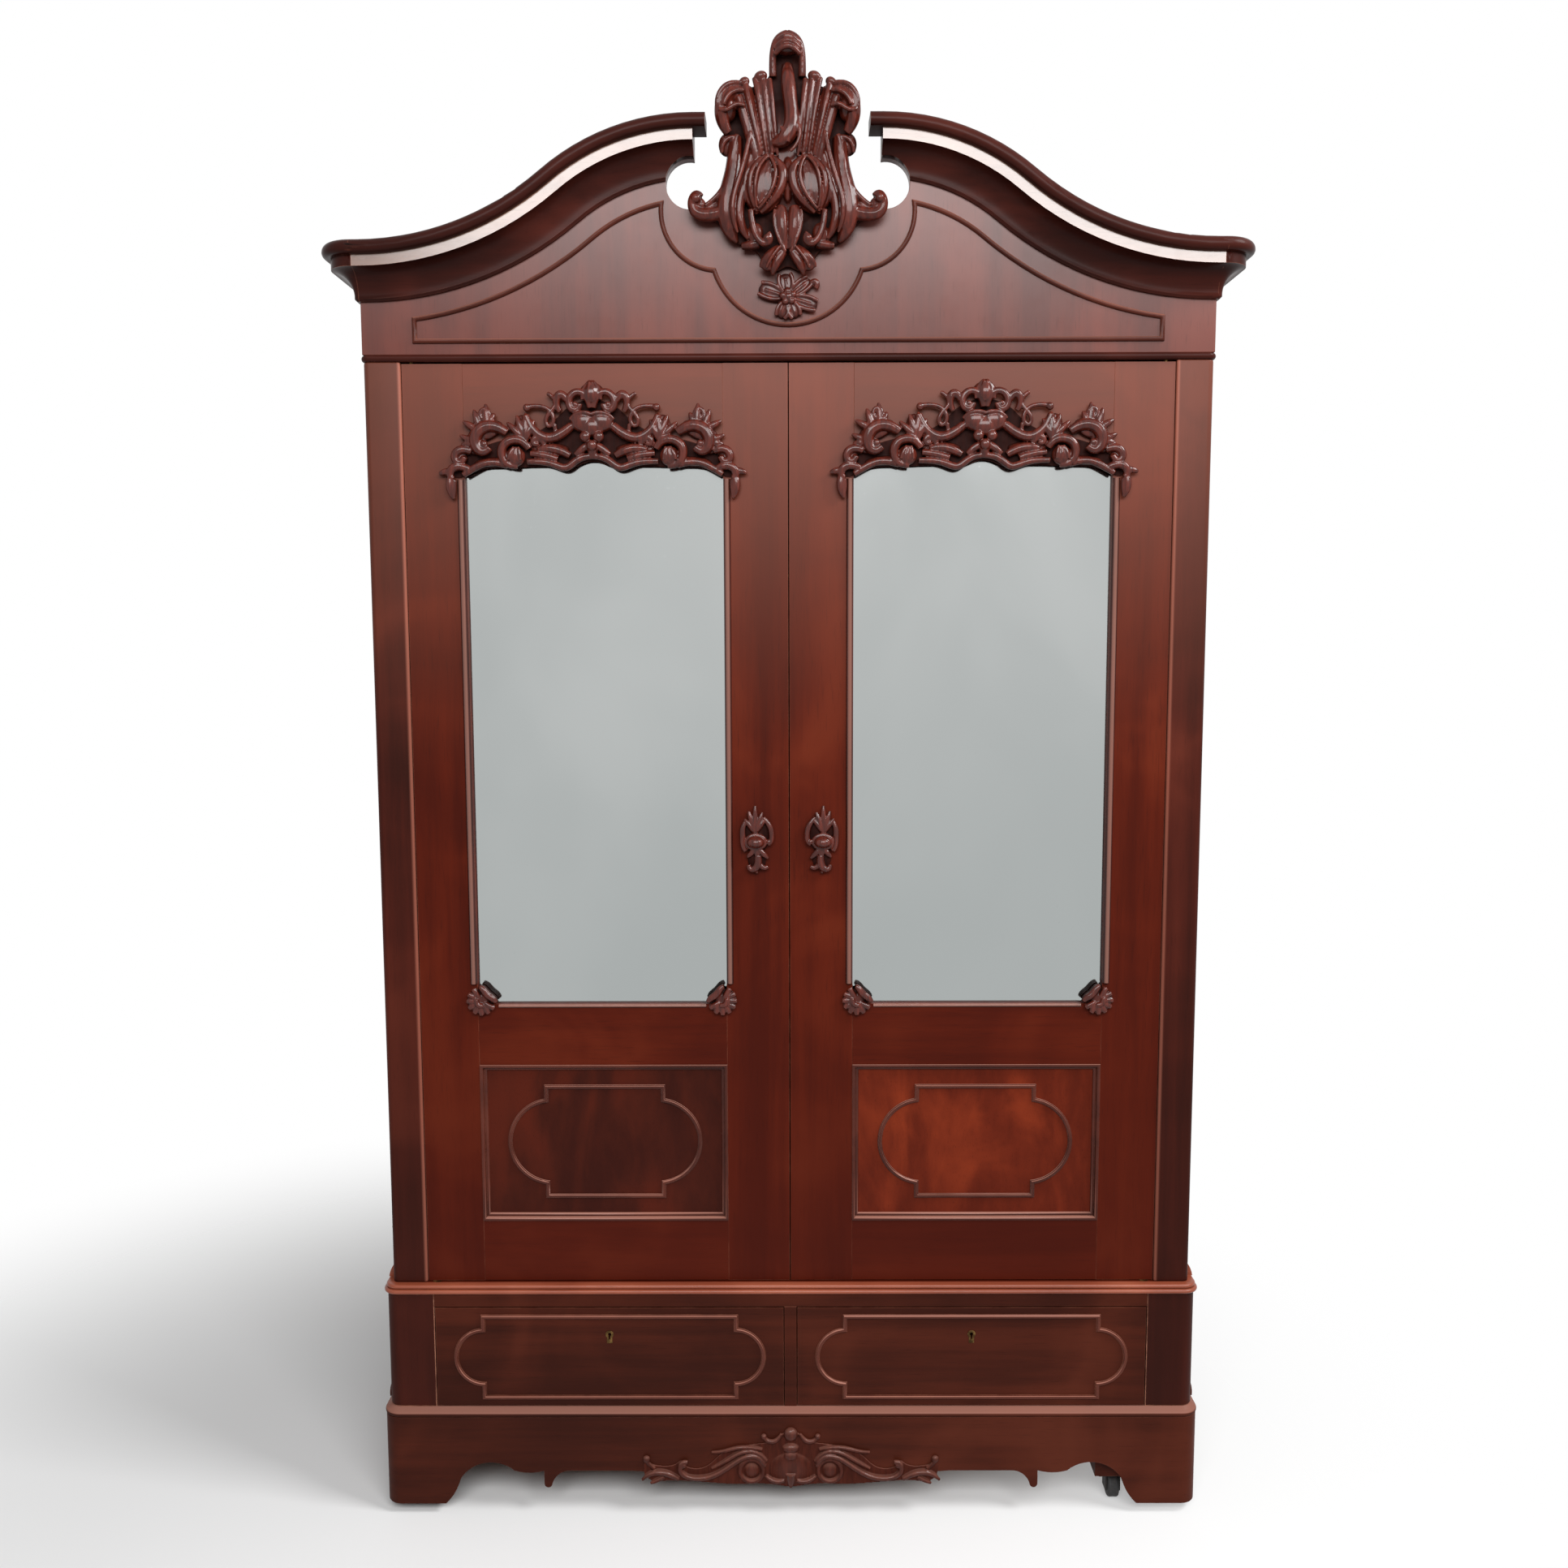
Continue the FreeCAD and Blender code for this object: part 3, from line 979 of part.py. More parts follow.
def drawer(hand, side):
    """One drawer: front with its bead, box, lock and lock bolt."""
    near = s.muntin_width / 2 + s.drawer_gap
    far = case_half - s.case_post_width - s.drawer_gap
    low = bed_top + s.drawer_lift
    high = case_top - s.case_rail_height - s.drawer_top_gap
    rear = case_front + s.drawer_front
    x = side * drawer_middle
    key_z = high - s.keyhole_drop
    key_start = case_front - s.drawer_front / 2
    slot_z = (key_z - s.keyhole_slot, key_z)
    hole = [rod(f"{hand}_key_round", s.keyhole_radius, s.drawer_front * 2, (x, key_start, key_z), "y"),
            board(f"{hand}_key_slot", around(x, s.keyhole_radius), (key_start, rear), slot_z)]
    plank = board(f"{hand}_drawer_plank", span(side, near, far), (case_front, rear), (low, high))
    bead_half = (far - near) / 2 - s.drawer_frame_end
    bead = cartouche(f"{hand}_drawer_bead", x, low + s.drawer_frame_edge, bead_half, s.drawer_frame_bow,
                     high - low - 2 * s.drawer_frame_edge, s.drawer_frame_step, case_front)
    node(f"{hand}_drawer_front", cut(f"{hand}_keyed_front", plank, *hole), bead)

    inner, outer = near + s.drawer_side_gap, far - s.drawer_side_gap
    end = inside_back - s.drawer_back_gap
    side_z = (bed_top + s.drawer_run_gap, case_top - s.case_rail_height - s.drawer_side_drop)
    t = s.drawer_side
    bottom_z = bed_top + s.drawer_bottom_rise
    pieces = [board(f"{hand}_drawer_side_{i}", span(side, *x_pair), (rear, end), side_z)
              for i, x_pair in enumerate(((inner, inner + t), (outer - t, outer)))]
    within = span(side, inner + t, outer - t)
    pieces.append(board(f"{hand}_drawer_bottom", within, (rear, end - t),
                        (bottom_z, bottom_z + s.drawer_bottom)))
    pieces.append(board(f"{hand}_drawer_back", within, (end - t, end), (bottom_z, side_z[1] - t)))
    node(f"{hand}_drawer_box", *pieces)

    plate_face = case_front - s.plate_thickness
    body = fuse(f"{hand}_plate_body",
                rod(f"{hand}_plate_round", s.plate_radius, s.plate_thickness, (x, plate_face, key_z), "y"),
                board(f"{hand}_plate_foot", around(x, s.plate_foot_width), (plate_face, case_front),
                      (key_z - s.plate_drop, key_z)))
    key = [rod(f"{hand}_plate_hole", s.keyhole_radius, s.drawer_front, (x, key_start, key_z), "y"),
           board(f"{hand}_plate_slot", around(x, s.keyhole_radius), (key_start, case_front), slot_z)]
    lock_top = high - s.lock_top_gap
    case = board(f"{hand}_lock_case", around(x, s.lock_width), (rear, rear + s.lock_depth),
                 (lock_top - s.lock_height, lock_top))
    bolt_low = lock_top - s.bolt_height - s.bolt_slack
    slot = board(f"{hand}_lock_slot", around(x, s.bolt_width + 2 * s.bolt_slack),
                 around(bolt_y, s.bolt_depth + 2 * s.bolt_slack), (bolt_low - s.bolt_slack, lock_top))
    node(f"{hand}_drawer_lock", cut(f"{hand}_key_plate", body, *key), cut(f"{hand}_lock_body", case, slot))
    node(f"{hand}_drawer_bolt", board(f"{hand}_bolt", around(x, s.bolt_width), around(bolt_y, s.bolt_depth),
                                      (bolt_low, bolt_low + s.bolt_height)))


def caster_places():
    """Name and place of each caster."""
    front_y = plinth_face + s.plinth_board + s.caster_setback
    back_y = back - s.plinth_board - s.caster_setback
    back_x = plinth_half - s.caster_back_inset
    return [("front_left", s.caster_front_left_inset - plinth_half, front_y),
            ("front_right", plinth_half - s.caster_front_right_inset, front_y),
            ("back_left", -back_x, back_y), ("back_right", back_x, back_y)]


def casters():
    """Fixed brackets with their axles, and four wheels that roll front to back."""
    brackets = []
    inside = s.wheel_width / 2 + s.cheek_gap
    for name, x, y in caster_places():
        plate = board(f"caster_plate_{name}", around(x, s.caster_plate_width),
                      around(y, s.caster_plate_width), (caster_top - s.caster_plate, caster_top))
        cheeks = [board(f"cheek_{name}_{hand}", cheek_span(x, side, inside), around(y, s.cheek_width),
                        (s.wheel_radius - s.cheek_drop, caster_top - s.caster_plate))
                  for hand, side in HANDS.items()]
        reach = inside + s.cheek_thickness
        axle = rod(f"axle_{name}", s.axle_radius, 2 * reach, (x - reach, y, s.wheel_radius), "x")
        brackets.append(fuse(f"bracket_{name}", plate, axle, *cheeks))
        node(f"wheel_{name}", wheel(name, x, y))
    node("caster_brackets", *brackets)


def cheek_span(x, side, inside):
    """Low and high x of one cheek of a caster bracket."""
    near = x + side * inside
    far = near + side * s.cheek_thickness
    return (near, far) if side > 0 else (far, near)


def wheel(name, x, y):
    """A wheel turned on its axle, with rounded shoulders on the tread."""
    body = doc.addObject("PartDesign::Body", f"tread_{name}")
    sketch = body.newObject("Sketcher::SketchObject", f"tread_section_{name}")
    base = next(f for f in body.Origin.OriginFeatures if f.Role == "XZ_Plane")
    sketch.AttachmentSupport = [(base, "")]
    sketch.MapMode = "FlatFace"
    w, r, c = s.wheel_width / 2, s.wheel_radius, s.wheel_shoulder
    bore = s.axle_radius + s.running_slack
    draw(sketch, [(-w, bore), (w, bore), (w, r - c, c), (w - c, r), (c - w, r, c), (-w, r - c)])
    spin = body.newObject("PartDesign::Revolution", f"tread_spin_{name}")
    spin.Profile = sketch
    spin.ReferenceAxis = (sketch, ["H_Axis"])
    spin.Angle = 360
    body.Tip = spin
    place(body, x, y, s.wheel_radius)
    return body


caster_top = 2 * s.wheel_radius + s.wheel_headroom + s.caster_plate
drawer_middle = (s.muntin_width / 2 + case_half - s.case_post_width) / 2
bolt_y = case_front + s.drawer_front + s.lock_depth / 2
slide_y = door_back + s.staple_plate + s.bolt_slack + s.slide_bolt_depth / 2

casters()
plinth()
drawer_case()
hanging_space()
pediment()
for hand, side in HANDS.items():
    door(hand, side)
    drawer(hand, side)
door_fittings()

doc.recompute()
faulty = [item.Name for item in doc.Objects if {"Invalid", "Error"} & set(item.State)]
for name, item in nodes.items():
    if item.Shape.isNull() or not item.Shape.isValid() or not item.Shape.Solids:
        faulty.append(name)
if faulty:
    raise RuntimeError(f"these pieces failed: {faulty}")
os.makedirs("parts", exist_ok=True)
for name, item in nodes.items():
    item.Shape.exportStep(f"parts/{name}.step")
    print(f"{name}: {len(item.Shape.Solids)} solids, {item.Shape.Volume / 1000:.1f} cm3")
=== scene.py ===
"""Mirrored wardrobe: polished boards, carvings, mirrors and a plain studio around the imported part."""

import json
import math

import bmesh
import bpy
from mathutils import Matrix, Vector

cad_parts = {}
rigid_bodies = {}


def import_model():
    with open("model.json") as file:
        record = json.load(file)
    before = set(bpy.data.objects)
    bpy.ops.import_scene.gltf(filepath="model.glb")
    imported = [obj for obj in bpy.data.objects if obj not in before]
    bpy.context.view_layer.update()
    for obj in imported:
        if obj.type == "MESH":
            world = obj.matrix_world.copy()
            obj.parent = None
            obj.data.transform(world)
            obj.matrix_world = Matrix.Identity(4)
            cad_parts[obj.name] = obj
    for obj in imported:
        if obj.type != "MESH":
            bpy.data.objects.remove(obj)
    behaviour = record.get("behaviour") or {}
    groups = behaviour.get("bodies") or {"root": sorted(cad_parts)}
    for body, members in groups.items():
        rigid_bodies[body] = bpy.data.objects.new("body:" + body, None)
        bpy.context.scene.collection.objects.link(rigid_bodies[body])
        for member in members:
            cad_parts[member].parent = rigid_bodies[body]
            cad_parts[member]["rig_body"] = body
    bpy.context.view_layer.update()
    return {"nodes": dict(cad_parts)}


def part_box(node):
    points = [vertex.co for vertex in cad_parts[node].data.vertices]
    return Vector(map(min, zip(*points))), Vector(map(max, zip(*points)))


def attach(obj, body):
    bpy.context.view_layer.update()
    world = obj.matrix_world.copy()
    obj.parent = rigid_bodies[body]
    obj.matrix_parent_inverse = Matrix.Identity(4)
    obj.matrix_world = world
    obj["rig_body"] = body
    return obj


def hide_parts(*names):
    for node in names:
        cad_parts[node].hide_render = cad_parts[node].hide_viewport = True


MM = 0.001
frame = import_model()
scene = bpy.context.scene
body_of = {name: item["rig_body"] for name, item in frame["nodes"].items()}

CAMERA_PLACE = Vector((-0.0004, -2.7396, 1.6504))
CAMERA_LENS = 31.68
CAMERA_PITCH = 0.10287
CAMERA_YAW = -0.0036
CAMERA_ROLL = -0.00277
CAMERA_SENSOR = 36
CAMERA_REACH = 200


def set_camera():
    """The view of the photo: a little above the middle, looking slightly down."""
    forward = Vector((math.sin(CAMERA_YAW) * math.cos(CAMERA_PITCH),
                      math.cos(CAMERA_YAW) * math.cos(CAMERA_PITCH), -math.sin(CAMERA_PITCH)))
    level = Vector((math.cos(CAMERA_YAW), -math.sin(CAMERA_YAW), 0))
    upright = level.cross(forward)
    right = level * math.cos(CAMERA_ROLL) + upright * math.sin(CAMERA_ROLL)
    up = upright * math.cos(CAMERA_ROLL) - level * math.sin(CAMERA_ROLL)
    lens = bpy.data.cameras.new("camera")
    lens.lens = CAMERA_LENS
    lens.sensor_width = CAMERA_SENSOR
    lens.clip_end = CAMERA_REACH
    camera = bpy.data.objects.new("camera", lens)
    turn = Matrix((right, up, -forward)).transposed().to_4x4()
    camera.matrix_world = Matrix.Translation(CAMERA_PLACE) @ turn
    scene.collection.objects.link(camera)
    scene.camera = camera


def tone(red, green, blue):
    """A colour as it is seen on a screen, 0 to 255, as the linear values that a shader takes."""
    shares = [c / 255 for c in (red, green, blue)]
    return tuple(c / 12.92 if c <= 0.04045 else ((c + 0.055) / 1.055) ** 2.4 for c in shares) + (1,)


class Value:
    """One value inside a finish, which plain arithmetic can be written on."""

    def __init__(self, finish, socket):
        self.finish = finish
        self.socket = socket

    def maths(self, operation, first, second):
        return self.finish.node("Math", {"operation": operation}, {0: first, 1: second})

    def __add__(self, other):
        return self.maths("ADD", self, other)

    def __radd__(self, other):
        return self.maths("ADD", other, self)

    def __sub__(self, other):
        return self.maths("SUBTRACT", self, other)

    def __rsub__(self, other):
        return self.maths("SUBTRACT", other, self)

    def __mul__(self, other):
        return self.maths("MULTIPLY", self, other)


class Finish:
    """A material made of noise and ramps on the piece's own coordinates."""

    def __init__(self, name):
        self.material = bpy.data.materials.new(name)
        self.material.use_nodes = True
        self.tree = self.material.node_tree
        self.shader = self.tree.nodes["Principled BSDF"]
        self.place = self.node("TexCoord", output="Object")

    def node(self, kind, settings=None, values=None, output=0):
        made = self.tree.nodes.new("ShaderNode" + kind)
        for key, value in (settings or {}).items():
            setattr(made, key, value)
        for key, value in (values or {}).items():
            self.feed(made.inputs[key], value)
        return Value(self, made.outputs[output])

    def feed(self, socket, value):
        if isinstance(value, Value):
            self.tree.links.new(value.socket, socket)
        else:
            socket.default_value = value

    def set(self, **values):
        """Sets inputs of the shader: Base_Color is its Base Color."""
        for key, value in values.items():
            self.feed(self.shader.inputs[key.replace("_", " ")], value)

    def axis(self, letter):
        return self.node("SeparateXYZ", None, {0: self.place}, letter)

    def stretched(self, scale):
        return self.node("Mapping", None, {"Vector": self.place, "Scale": scale})

    def noise(self, place, scale=1, detail=4, roughness=0.55, distortion=0):
        return self.node("TexNoise", None, {"Vector": place, "Scale": scale, "Detail": detail,
                                            "Roughness": roughness, "Distortion": distortion})

    def ramp(self, value, low, high, start=0, stop=1):
        return self.node("MapRange", {"interpolation_type": "SMOOTHSTEP"},
                         {"Value": value, "From Min": low, "From Max": high,
                          "To Min": start, "To Max": stop})

    def mix(self, share, first, second):
        return self.node("Mix", {"data_type": "RGBA"}, {0: share, 6: first, 7: second}, 2)

    def bump(self, height, strength, distance):
        return self.node("Bump", None, {"Height": height, "Strength": strength, "Distance": distance})


GRAIN_WAYS = {"x": (0.05, 1, 1), "y": (1, 0.05, 1), "z": (1, 1, 0.05), "flame": (1, 1, 0.32)}
# levels in metres: hazy polish and painted light towards the top, painted shade towards the floor
HAZE_AND_TOP_LIGHT_LEVELS = (1.35, 2.25)
PAINTED_SHADE_LEVELS = (1.2, 0.5)
PAINTED_SHADE_SHARE = 0.5
# parts of a normal between which a face starts to take the painted highlight
LIT_SLOPE = (0.1, 0.6)
LIT_CREST = (-0.75, -0.96)
# painted highlight along the inner arris of a corner post, in millimetres from the door and metres of
# height
LINE_ENDS = (9, 3)
LINE_LEVELS = (0.75, 2.25)
LINE_SHARES = (0.34, 0.48)
# a bead on a drawer front begins and is full this many millimetres before the rail
BEAD_RISE = (1, 3)
BUMP_HEIGHT = 0.0003
PORE = (28, 9, 6)
WORN = (168, 104, 82)
ARRIS_HIGHLIGHT = (214, 150, 122)
BEAD_RUB = (84, 40, 30)
PAINTED_HIGHLIGHT = (178, 124, 108)
PAINTED_TOP_LIGHT = (130, 74, 54)
POST_ARRIS_HIGHLIGHT = (188, 114, 94)
CARVED_GROUND_SHADE = (24, 9, 7)
CARVED_HOLLOW_SHADE = (16, 6, 5)
CARVED_EDGE_WEAR_AND_HIGHLIGHT = (136, 78, 64)
CARVED_BROWN = ((60, 20, 13), (90, 33, 22))
APRON_BROWN = ((60, 25, 17), (76, 33, 23))


def rubbed_edges(finish, width):
    """How far an edge is lightened, for rubbing and for painted highlights: 0 on a flat face, 1 on a sharp
    corner.
    """
    soft = finish.node("Bevel", {"samples": 6}, {"Radius": width * MM})
    hard = finish.node("NewGeometry", output="Normal")
    match = finish.node("VectorMath", {"operation": "DOT_PRODUCT"}, {0: soft, 1: hard}, "Value")
    patchy = finish.ramp(finish.noise(finish.place, 26, 3), 0.35, 0.62, 0.35, 1)
    return finish.ramp(1 - match, 0.01, 0.12) * patchy


def facing(finish, letter, low, high):
    """How far a face looks along an axis: 0 where that part of its normal is low, 1 where it is high."""
    normal = finish.node("NewGeometry", output="Normal")
    return finish.ramp(finish.node("SeparateXYZ", None, {0: normal}, letter), low, high)


def upward(finish):
    """How far a face looks up: 0 on an upright one, 1 on a slope that takes the painted highlight."""
    return facing(finish, "Z", *LIT_SLOPE)


def wood(name, along, tones, polish=0.03, gloss=0.42, figure=0.6, haze=(0.06, 0.36), wear_and_highlight_share=0.45,
         rub=1.6, worn=WORN, proud=None, top_light_paint=0, relief=0.08, top_highlight=0, levels=HAZE_AND_TOP_LIGHT_LEVELS, arris=None,
         crest_highlight=0):
    """Polished timber: soft bands and clouds, fine streaks and pores along one axis, and lighter edges.

    haze is the clear coat, one value or its values at the two levels. Where asked, the colour takes painted
    light towards the top and painted shade towards the floor. A bead in front of proud takes a rubbed tone.
    Painted
    highlights fall on its top, on faces that look up or forwards and on the line beside arris. Edges are
    lighter:
    rubbed on most boards, a painted highlight on the posts and beads.
    """
    dark, middle, light = (tone(*each) for each in tones)
    finish = Finish(name)
    run = finish.stretched(GRAIN_WAYS[along])
    bands = finish.noise(run, 9, 4, 0.5, figure)
    streaks = finish.noise(run, 55, 4, 0.6, 0.3)
    cloud = finish.noise(finish.place, 3.1, 3, 0.5, 0.8)
    pores = finish.ramp(finish.noise(run, 430, 2, 0.6), 0.56, 0.76)
    base = finish.mix(finish.ramp(bands * 0.45 + streaks * 0.2 + cloud * 0.35, 0.38, 0.6), dark, middle)
    base = finish.mix(finish.ramp(cloud * 0.6 + bands * 0.4, 0.5, 0.68) * 0.7, base, light)
    base = finish.mix(pores * 0.3, base, tone(*PORE))
    coat = finish.ramp(finish.axis("Z"), *levels, *haze) if isinstance(haze, tuple) else haze
    # painted light: the colour lightens towards the top; painted shade darkens it towards the floor
    if top_light_paint:
        base = finish.mix(finish.ramp(finish.axis("Z"), *levels, 0, top_light_paint), base, tone(*PAINTED_TOP_LIGHT))
        base = finish.mix(finish.ramp(finish.axis("Z"), *PAINTED_SHADE_LEVELS, 0, PAINTED_SHADE_SHARE), base, dark)
    # a bead in front of proud takes a rubbed tone and a painted highlight on its upper faces
    if proud is not None:
        lifted = finish.ramp(finish.axis("Y"), *((proud - rise) * MM for rise in BEAD_RISE))
        base = finish.mix(lifted * 0.7, base, tone(*BEAD_RUB))
        base = finish.mix(lifted * upward(finish) * 0.8, base, tone(*PAINTED_HIGHLIGHT))
        coat = coat + lifted * 0.25
    # painted highlight on faces that look up
    if top_highlight:
        base = finish.mix(upward(finish) * top_highlight, base, tone(*PAINTED_HIGHLIGHT))
    # painted highlight on faces that look forwards
    if crest_highlight:
        base = finish.mix(facing(finish, "Y", *LIT_CREST) * crest_highlight, base, tone(*PAINTED_HIGHLIGHT))
    # painted highlight: a pale line beside the inner arris of a corner post, stronger higher up
    if arris is not None:
        across = finish.axis("X")
        line = finish.ramp(across * across, *(((arris + end) * MM) ** 2 for end in LINE_ENDS))
        share = finish.ramp(finish.axis("Z"), *LINE_LEVELS, *LINE_SHARES)
        base = finish.mix(line * share, base, tone(*POST_ARRIS_HIGHLIGHT))
    # lighter edges: rubbed in the default tone, a painted highlight where a highlight tone is given
    base = finish.mix(rubbed_edges(finish, rub) * wear_and_highlight_share, base, tone(*worn))
    dust = finish.noise(finish.place, 34, 3, 0.6)
    finish.set(Base_Color=base, Roughness=gloss + pores * 0.08 + finish.ramp(dust, 0.45, 0.75) * 0.06,
               Coat_Weight=coat, Normal=finish.bump(streaks * 0.5 - pores * 0.5, relief, BUMP_HEIGHT))
    finish.shader.inputs["Specular IOR Level"].default_value = polish
    finish.shader.inputs["Coat Roughness"].default_value = gloss
    return finish.material


def carved_wood(name, ground, depth, shine=0.6, rubbed=0.4, tones=CARVED_BROWN, dark=0.85, top_highlight=0):
    """Dark polished carving: painted shade at its ground and in hollows; high edges lighter, rubbed and
    painted highlight.
    """
    finish = Finish(name)
    bend = finish.node("NewGeometry", output="Pointiness")
    # painted shade near the carving's ground, its share set by dark; the coat is thinner there too
    deep = finish.ramp(finish.axis("Y"), (ground - depth * 0.58) * MM, (ground - depth * 0.3) * MM)
    grain = finish.noise(finish.stretched((1, 1, 0.12)), 150, 4, 0.6, 0.2)
    dirt = finish.noise(finish.place, 60, 4, 0.6)
    # high edges lighter, partly rubbed and partly a painted highlight; hollows darker with painted shade
    edge = finish.ramp(bend, 0.51, 0.6)
    hollow = finish.ramp(bend, 0.49, 0.42)
    base = finish.mix(finish.ramp(grain, 0.35, 0.7), tone(*tones[0]), tone(*tones[1]))
    base = finish.mix(deep * dark, base, tone(*CARVED_GROUND_SHADE))
    base = finish.mix(hollow * 0.8, base, tone(*CARVED_HOLLOW_SHADE))
    base = finish.mix(edge * rubbed, base, tone(*CARVED_EDGE_WEAR_AND_HIGHLIGHT))
    # painted highlight on faces that look up
    if top_highlight:
        base = finish.mix(upward(finish) * top_highlight, base, tone(*PAINTED_HIGHLIGHT))
    finish.set(Base_Color=base, Roughness=finish.ramp(dirt, 0.3, 0.75, 0.5, 0.65),
               Coat_Weight=(1 - deep) * (1 - hollow) * shine,
               Normal=finish.bump(grain + dirt * 0.6, 0.08, BUMP_HEIGHT))
    finish.shader.inputs["Specular IOR Level"].default_value = 0.05
    finish.shader.inputs["Coat Roughness"].default_value = 0.16
    return finish.material


def mirror(name):
    """Old silvered plate: a dull grey reflection with faint cloudy patches."""
    finish = Finish(name)
    cloud = finish.noise(finish.stretched((1, 1, 0.6)), 2.1, 3, 0.5, 0.4)
    specks = finish.ramp(finish.noise(finish.place, 190, 3, 0.6), 0.66, 0.78)
    base = finish.mix(finish.ramp(cloud, 0.35, 0.68), tone(176, 180, 179), tone(187, 190, 189))
    # darker towards the bottom: painted shade in the reflection
    base = finish.mix(finish.ramp(finish.axis("Z"), 1.8, 1.0, 0, 0.5), base, tone(160, 166, 165))
    base = finish.mix(specks * 0.1, base, tone(140, 142, 140))
    finish.set(Base_Color=base, Roughness=finish.ramp(cloud, 0.3, 0.7, 0.07, 0.11) + specks * 0.1,
               Normal=finish.bump(cloud, 0.02, 0.0005))
    finish.shader.inputs["Metallic"].default_value = 1
    return finish.material


def metal(name, dull, bright, roughness, shine=1):
    """Aged metal: patches of tarnish over a brighter ground, with fine scratches."""
    finish = Finish(name)
    patch = finish.noise(finish.place, 55, 5, 0.6, 0.4)
    scratch = finish.noise(finish.stretched((1, 1, 0.06)), 900, 2)
    base = finish.mix(finish.ramp(patch, 0.4, 0.65), tone(*dull), tone(*bright))
    finish.set(Base_Color=base, Roughness=roughness + finish.ramp(patch, 0.4, 0.7) * 0.15,
               Normal=finish.bump(scratch + patch, 0.15, BUMP_HEIGHT))
    finish.shader.inputs["Metallic"].default_value = shine
    return finish.material


def wheel_rubber(name):
    """Dull black wheel with dust on it."""
    finish = Finish(name)
    dust = finish.noise(finish.place, 120, 5, 0.65)
    base = finish.mix(finish.ramp(dust, 0.5, 0.75) * 0.5, tone(28, 27, 27), tone(88, 82, 78))
    finish.set(Base_Color=base, Roughness=finish.ramp(dust, 0.3, 0.7, 0.55, 0.8),
               Normal=finish.bump(dust, 0.2, 0.0004))
    return finish.material


RED_BROWN = ((62, 17, 8), (84, 26, 12), (100, 38, 20))
DEEP_BROWN = ((48, 19, 12), (70, 29, 18), (84, 38, 25))
POST_BROWN = ((44, 17, 12), (70, 27, 19), (92, 40, 28))
CROWN_BROWN = ((40, 15, 11), (60, 24, 18), (76, 33, 25))
FRIEZE_BROWN = ((74, 33, 26), (90, 40, 30), (106, 48, 36))
# pale tones: a painted reflection of the lamp on the fascia
FASCIA_SHEEN_BROWN = ((98, 66, 50), (118, 82, 64), (140, 102, 82))
# light tones: painted light on the rolls of the ledge
LEDGE_LIT_BROWN = ((112, 52, 34), (136, 68, 46), (156, 86, 62))
BEAD_BROWN = ((58, 25, 18), (76, 34, 25), (94, 46, 34))
# painted shade and painted light: darker tones for the left panels, lighter for the right, as the light
# falls from the right
FLAME_SHADED = ((50, 18, 12), (64, 24, 15), (82, 29, 17))
FLAME_LIT = ((78, 25, 13), (98, 34, 18), (134, 52, 27))
PLAIN_BROWN = ((104, 68, 45), (150, 104, 72), (178, 132, 96))
INNER_LOOK = {"polish": 0.2, "gloss": 0.55, "figure": 0.5, "haze": 0.0, "wear_and_highlight_share": 0.2}
FRIEZE_LEVELS = (2.12, 2.5)

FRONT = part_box("frieze_board")[0].y / MM
DOOR_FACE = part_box("left_door_stiles")[0].y / MM
APRON_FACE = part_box("plinth_front")[0].y / MM
DRAWER_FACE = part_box("case_rails")[0].y / MM
DOOR_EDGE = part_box("right_door_stiles")[1].x / MM
FASCIA_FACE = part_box("cove_moulding")[0].y / MM
CREST_DEPTH = 48
FLOWER_DEPTH = 18
DOOR_CARVING_DEPTH = 20
APRON_DEPTH = 16

# these boards take painted light towards the top and painted shade towards the floor
upright_wood = wood("mahogany_upright", "z", RED_BROWN, top_light_paint=0.38)
level_wood = wood("mahogany_level", "x", RED_BROWN, top_light_paint=0.38)
low_wood = wood("mahogany_low", "x", DEEP_BROWN)
# painted highlight on the upper faces of the plinth moulding
plinth_bead_wood = wood("mahogany_plinth_bead", "x", DEEP_BROWN, top_highlight=0.45)
# drawer beads: a rubbed tone and a painted highlight on their upper faces
drawer_wood = wood("mahogany_drawer", "x", DEEP_BROWN, proud=DRAWER_FACE)
# posts: painted highlight on the edges, and painted light towards the top
post_wood = wood("mahogany_post", "z", POST_BROWN, wear_and_highlight_share=0.9, rub=3.5, worn=ARRIS_HIGHLIGHT, top_light_paint=0.3)
# painted highlight along the inner arris, and painted light towards the top
corner_post_wood = wood("mahogany_corner_post", "z", POST_BROWN, top_light_paint=0.3, arris=DOOR_EDGE)
deep_wood = wood("mahogany_side", "y", DEEP_BROWN)
side_wood = wood("mahogany_side_panel", "z", POST_BROWN)
# the ledge's light tones are painted light on its rolls
ledge_wood = wood("mahogany_ledge", "x", LEDGE_LIT_BROWN, polish=0.25, gloss=0.3, haze=0.15, relief=0.02)
frieze_wood = wood("mahogany_frieze", "z", FRIEZE_BROWN, polish=0.12, figure=1.2, haze=(0.2, 1.0),
                   levels=FRIEZE_LEVELS)
crown_wood = wood("mahogany_crown", "x", CROWN_BROWN, polish=0.06, gloss=0.3, haze=0.02)
# the fascia's pale tones are a painted reflection; its full coat adds a real one
fascia_wood = wood("mahogany_fascia", "x", FASCIA_SHEEN_BROWN, polish=0.5, gloss=0.2, haze=1.0, relief=0.02)
# beads: painted highlights on their upper faces and edges
bead_wood = wood("mahogany_bead", "x", BEAD_BROWN, polish=0.1, gloss=0.22, haze=0.12, wear_and_highlight_share=0.6, rub=0.9,
                 worn=PAINTED_HIGHLIGHT, relief=0.01, top_highlight=0.6)
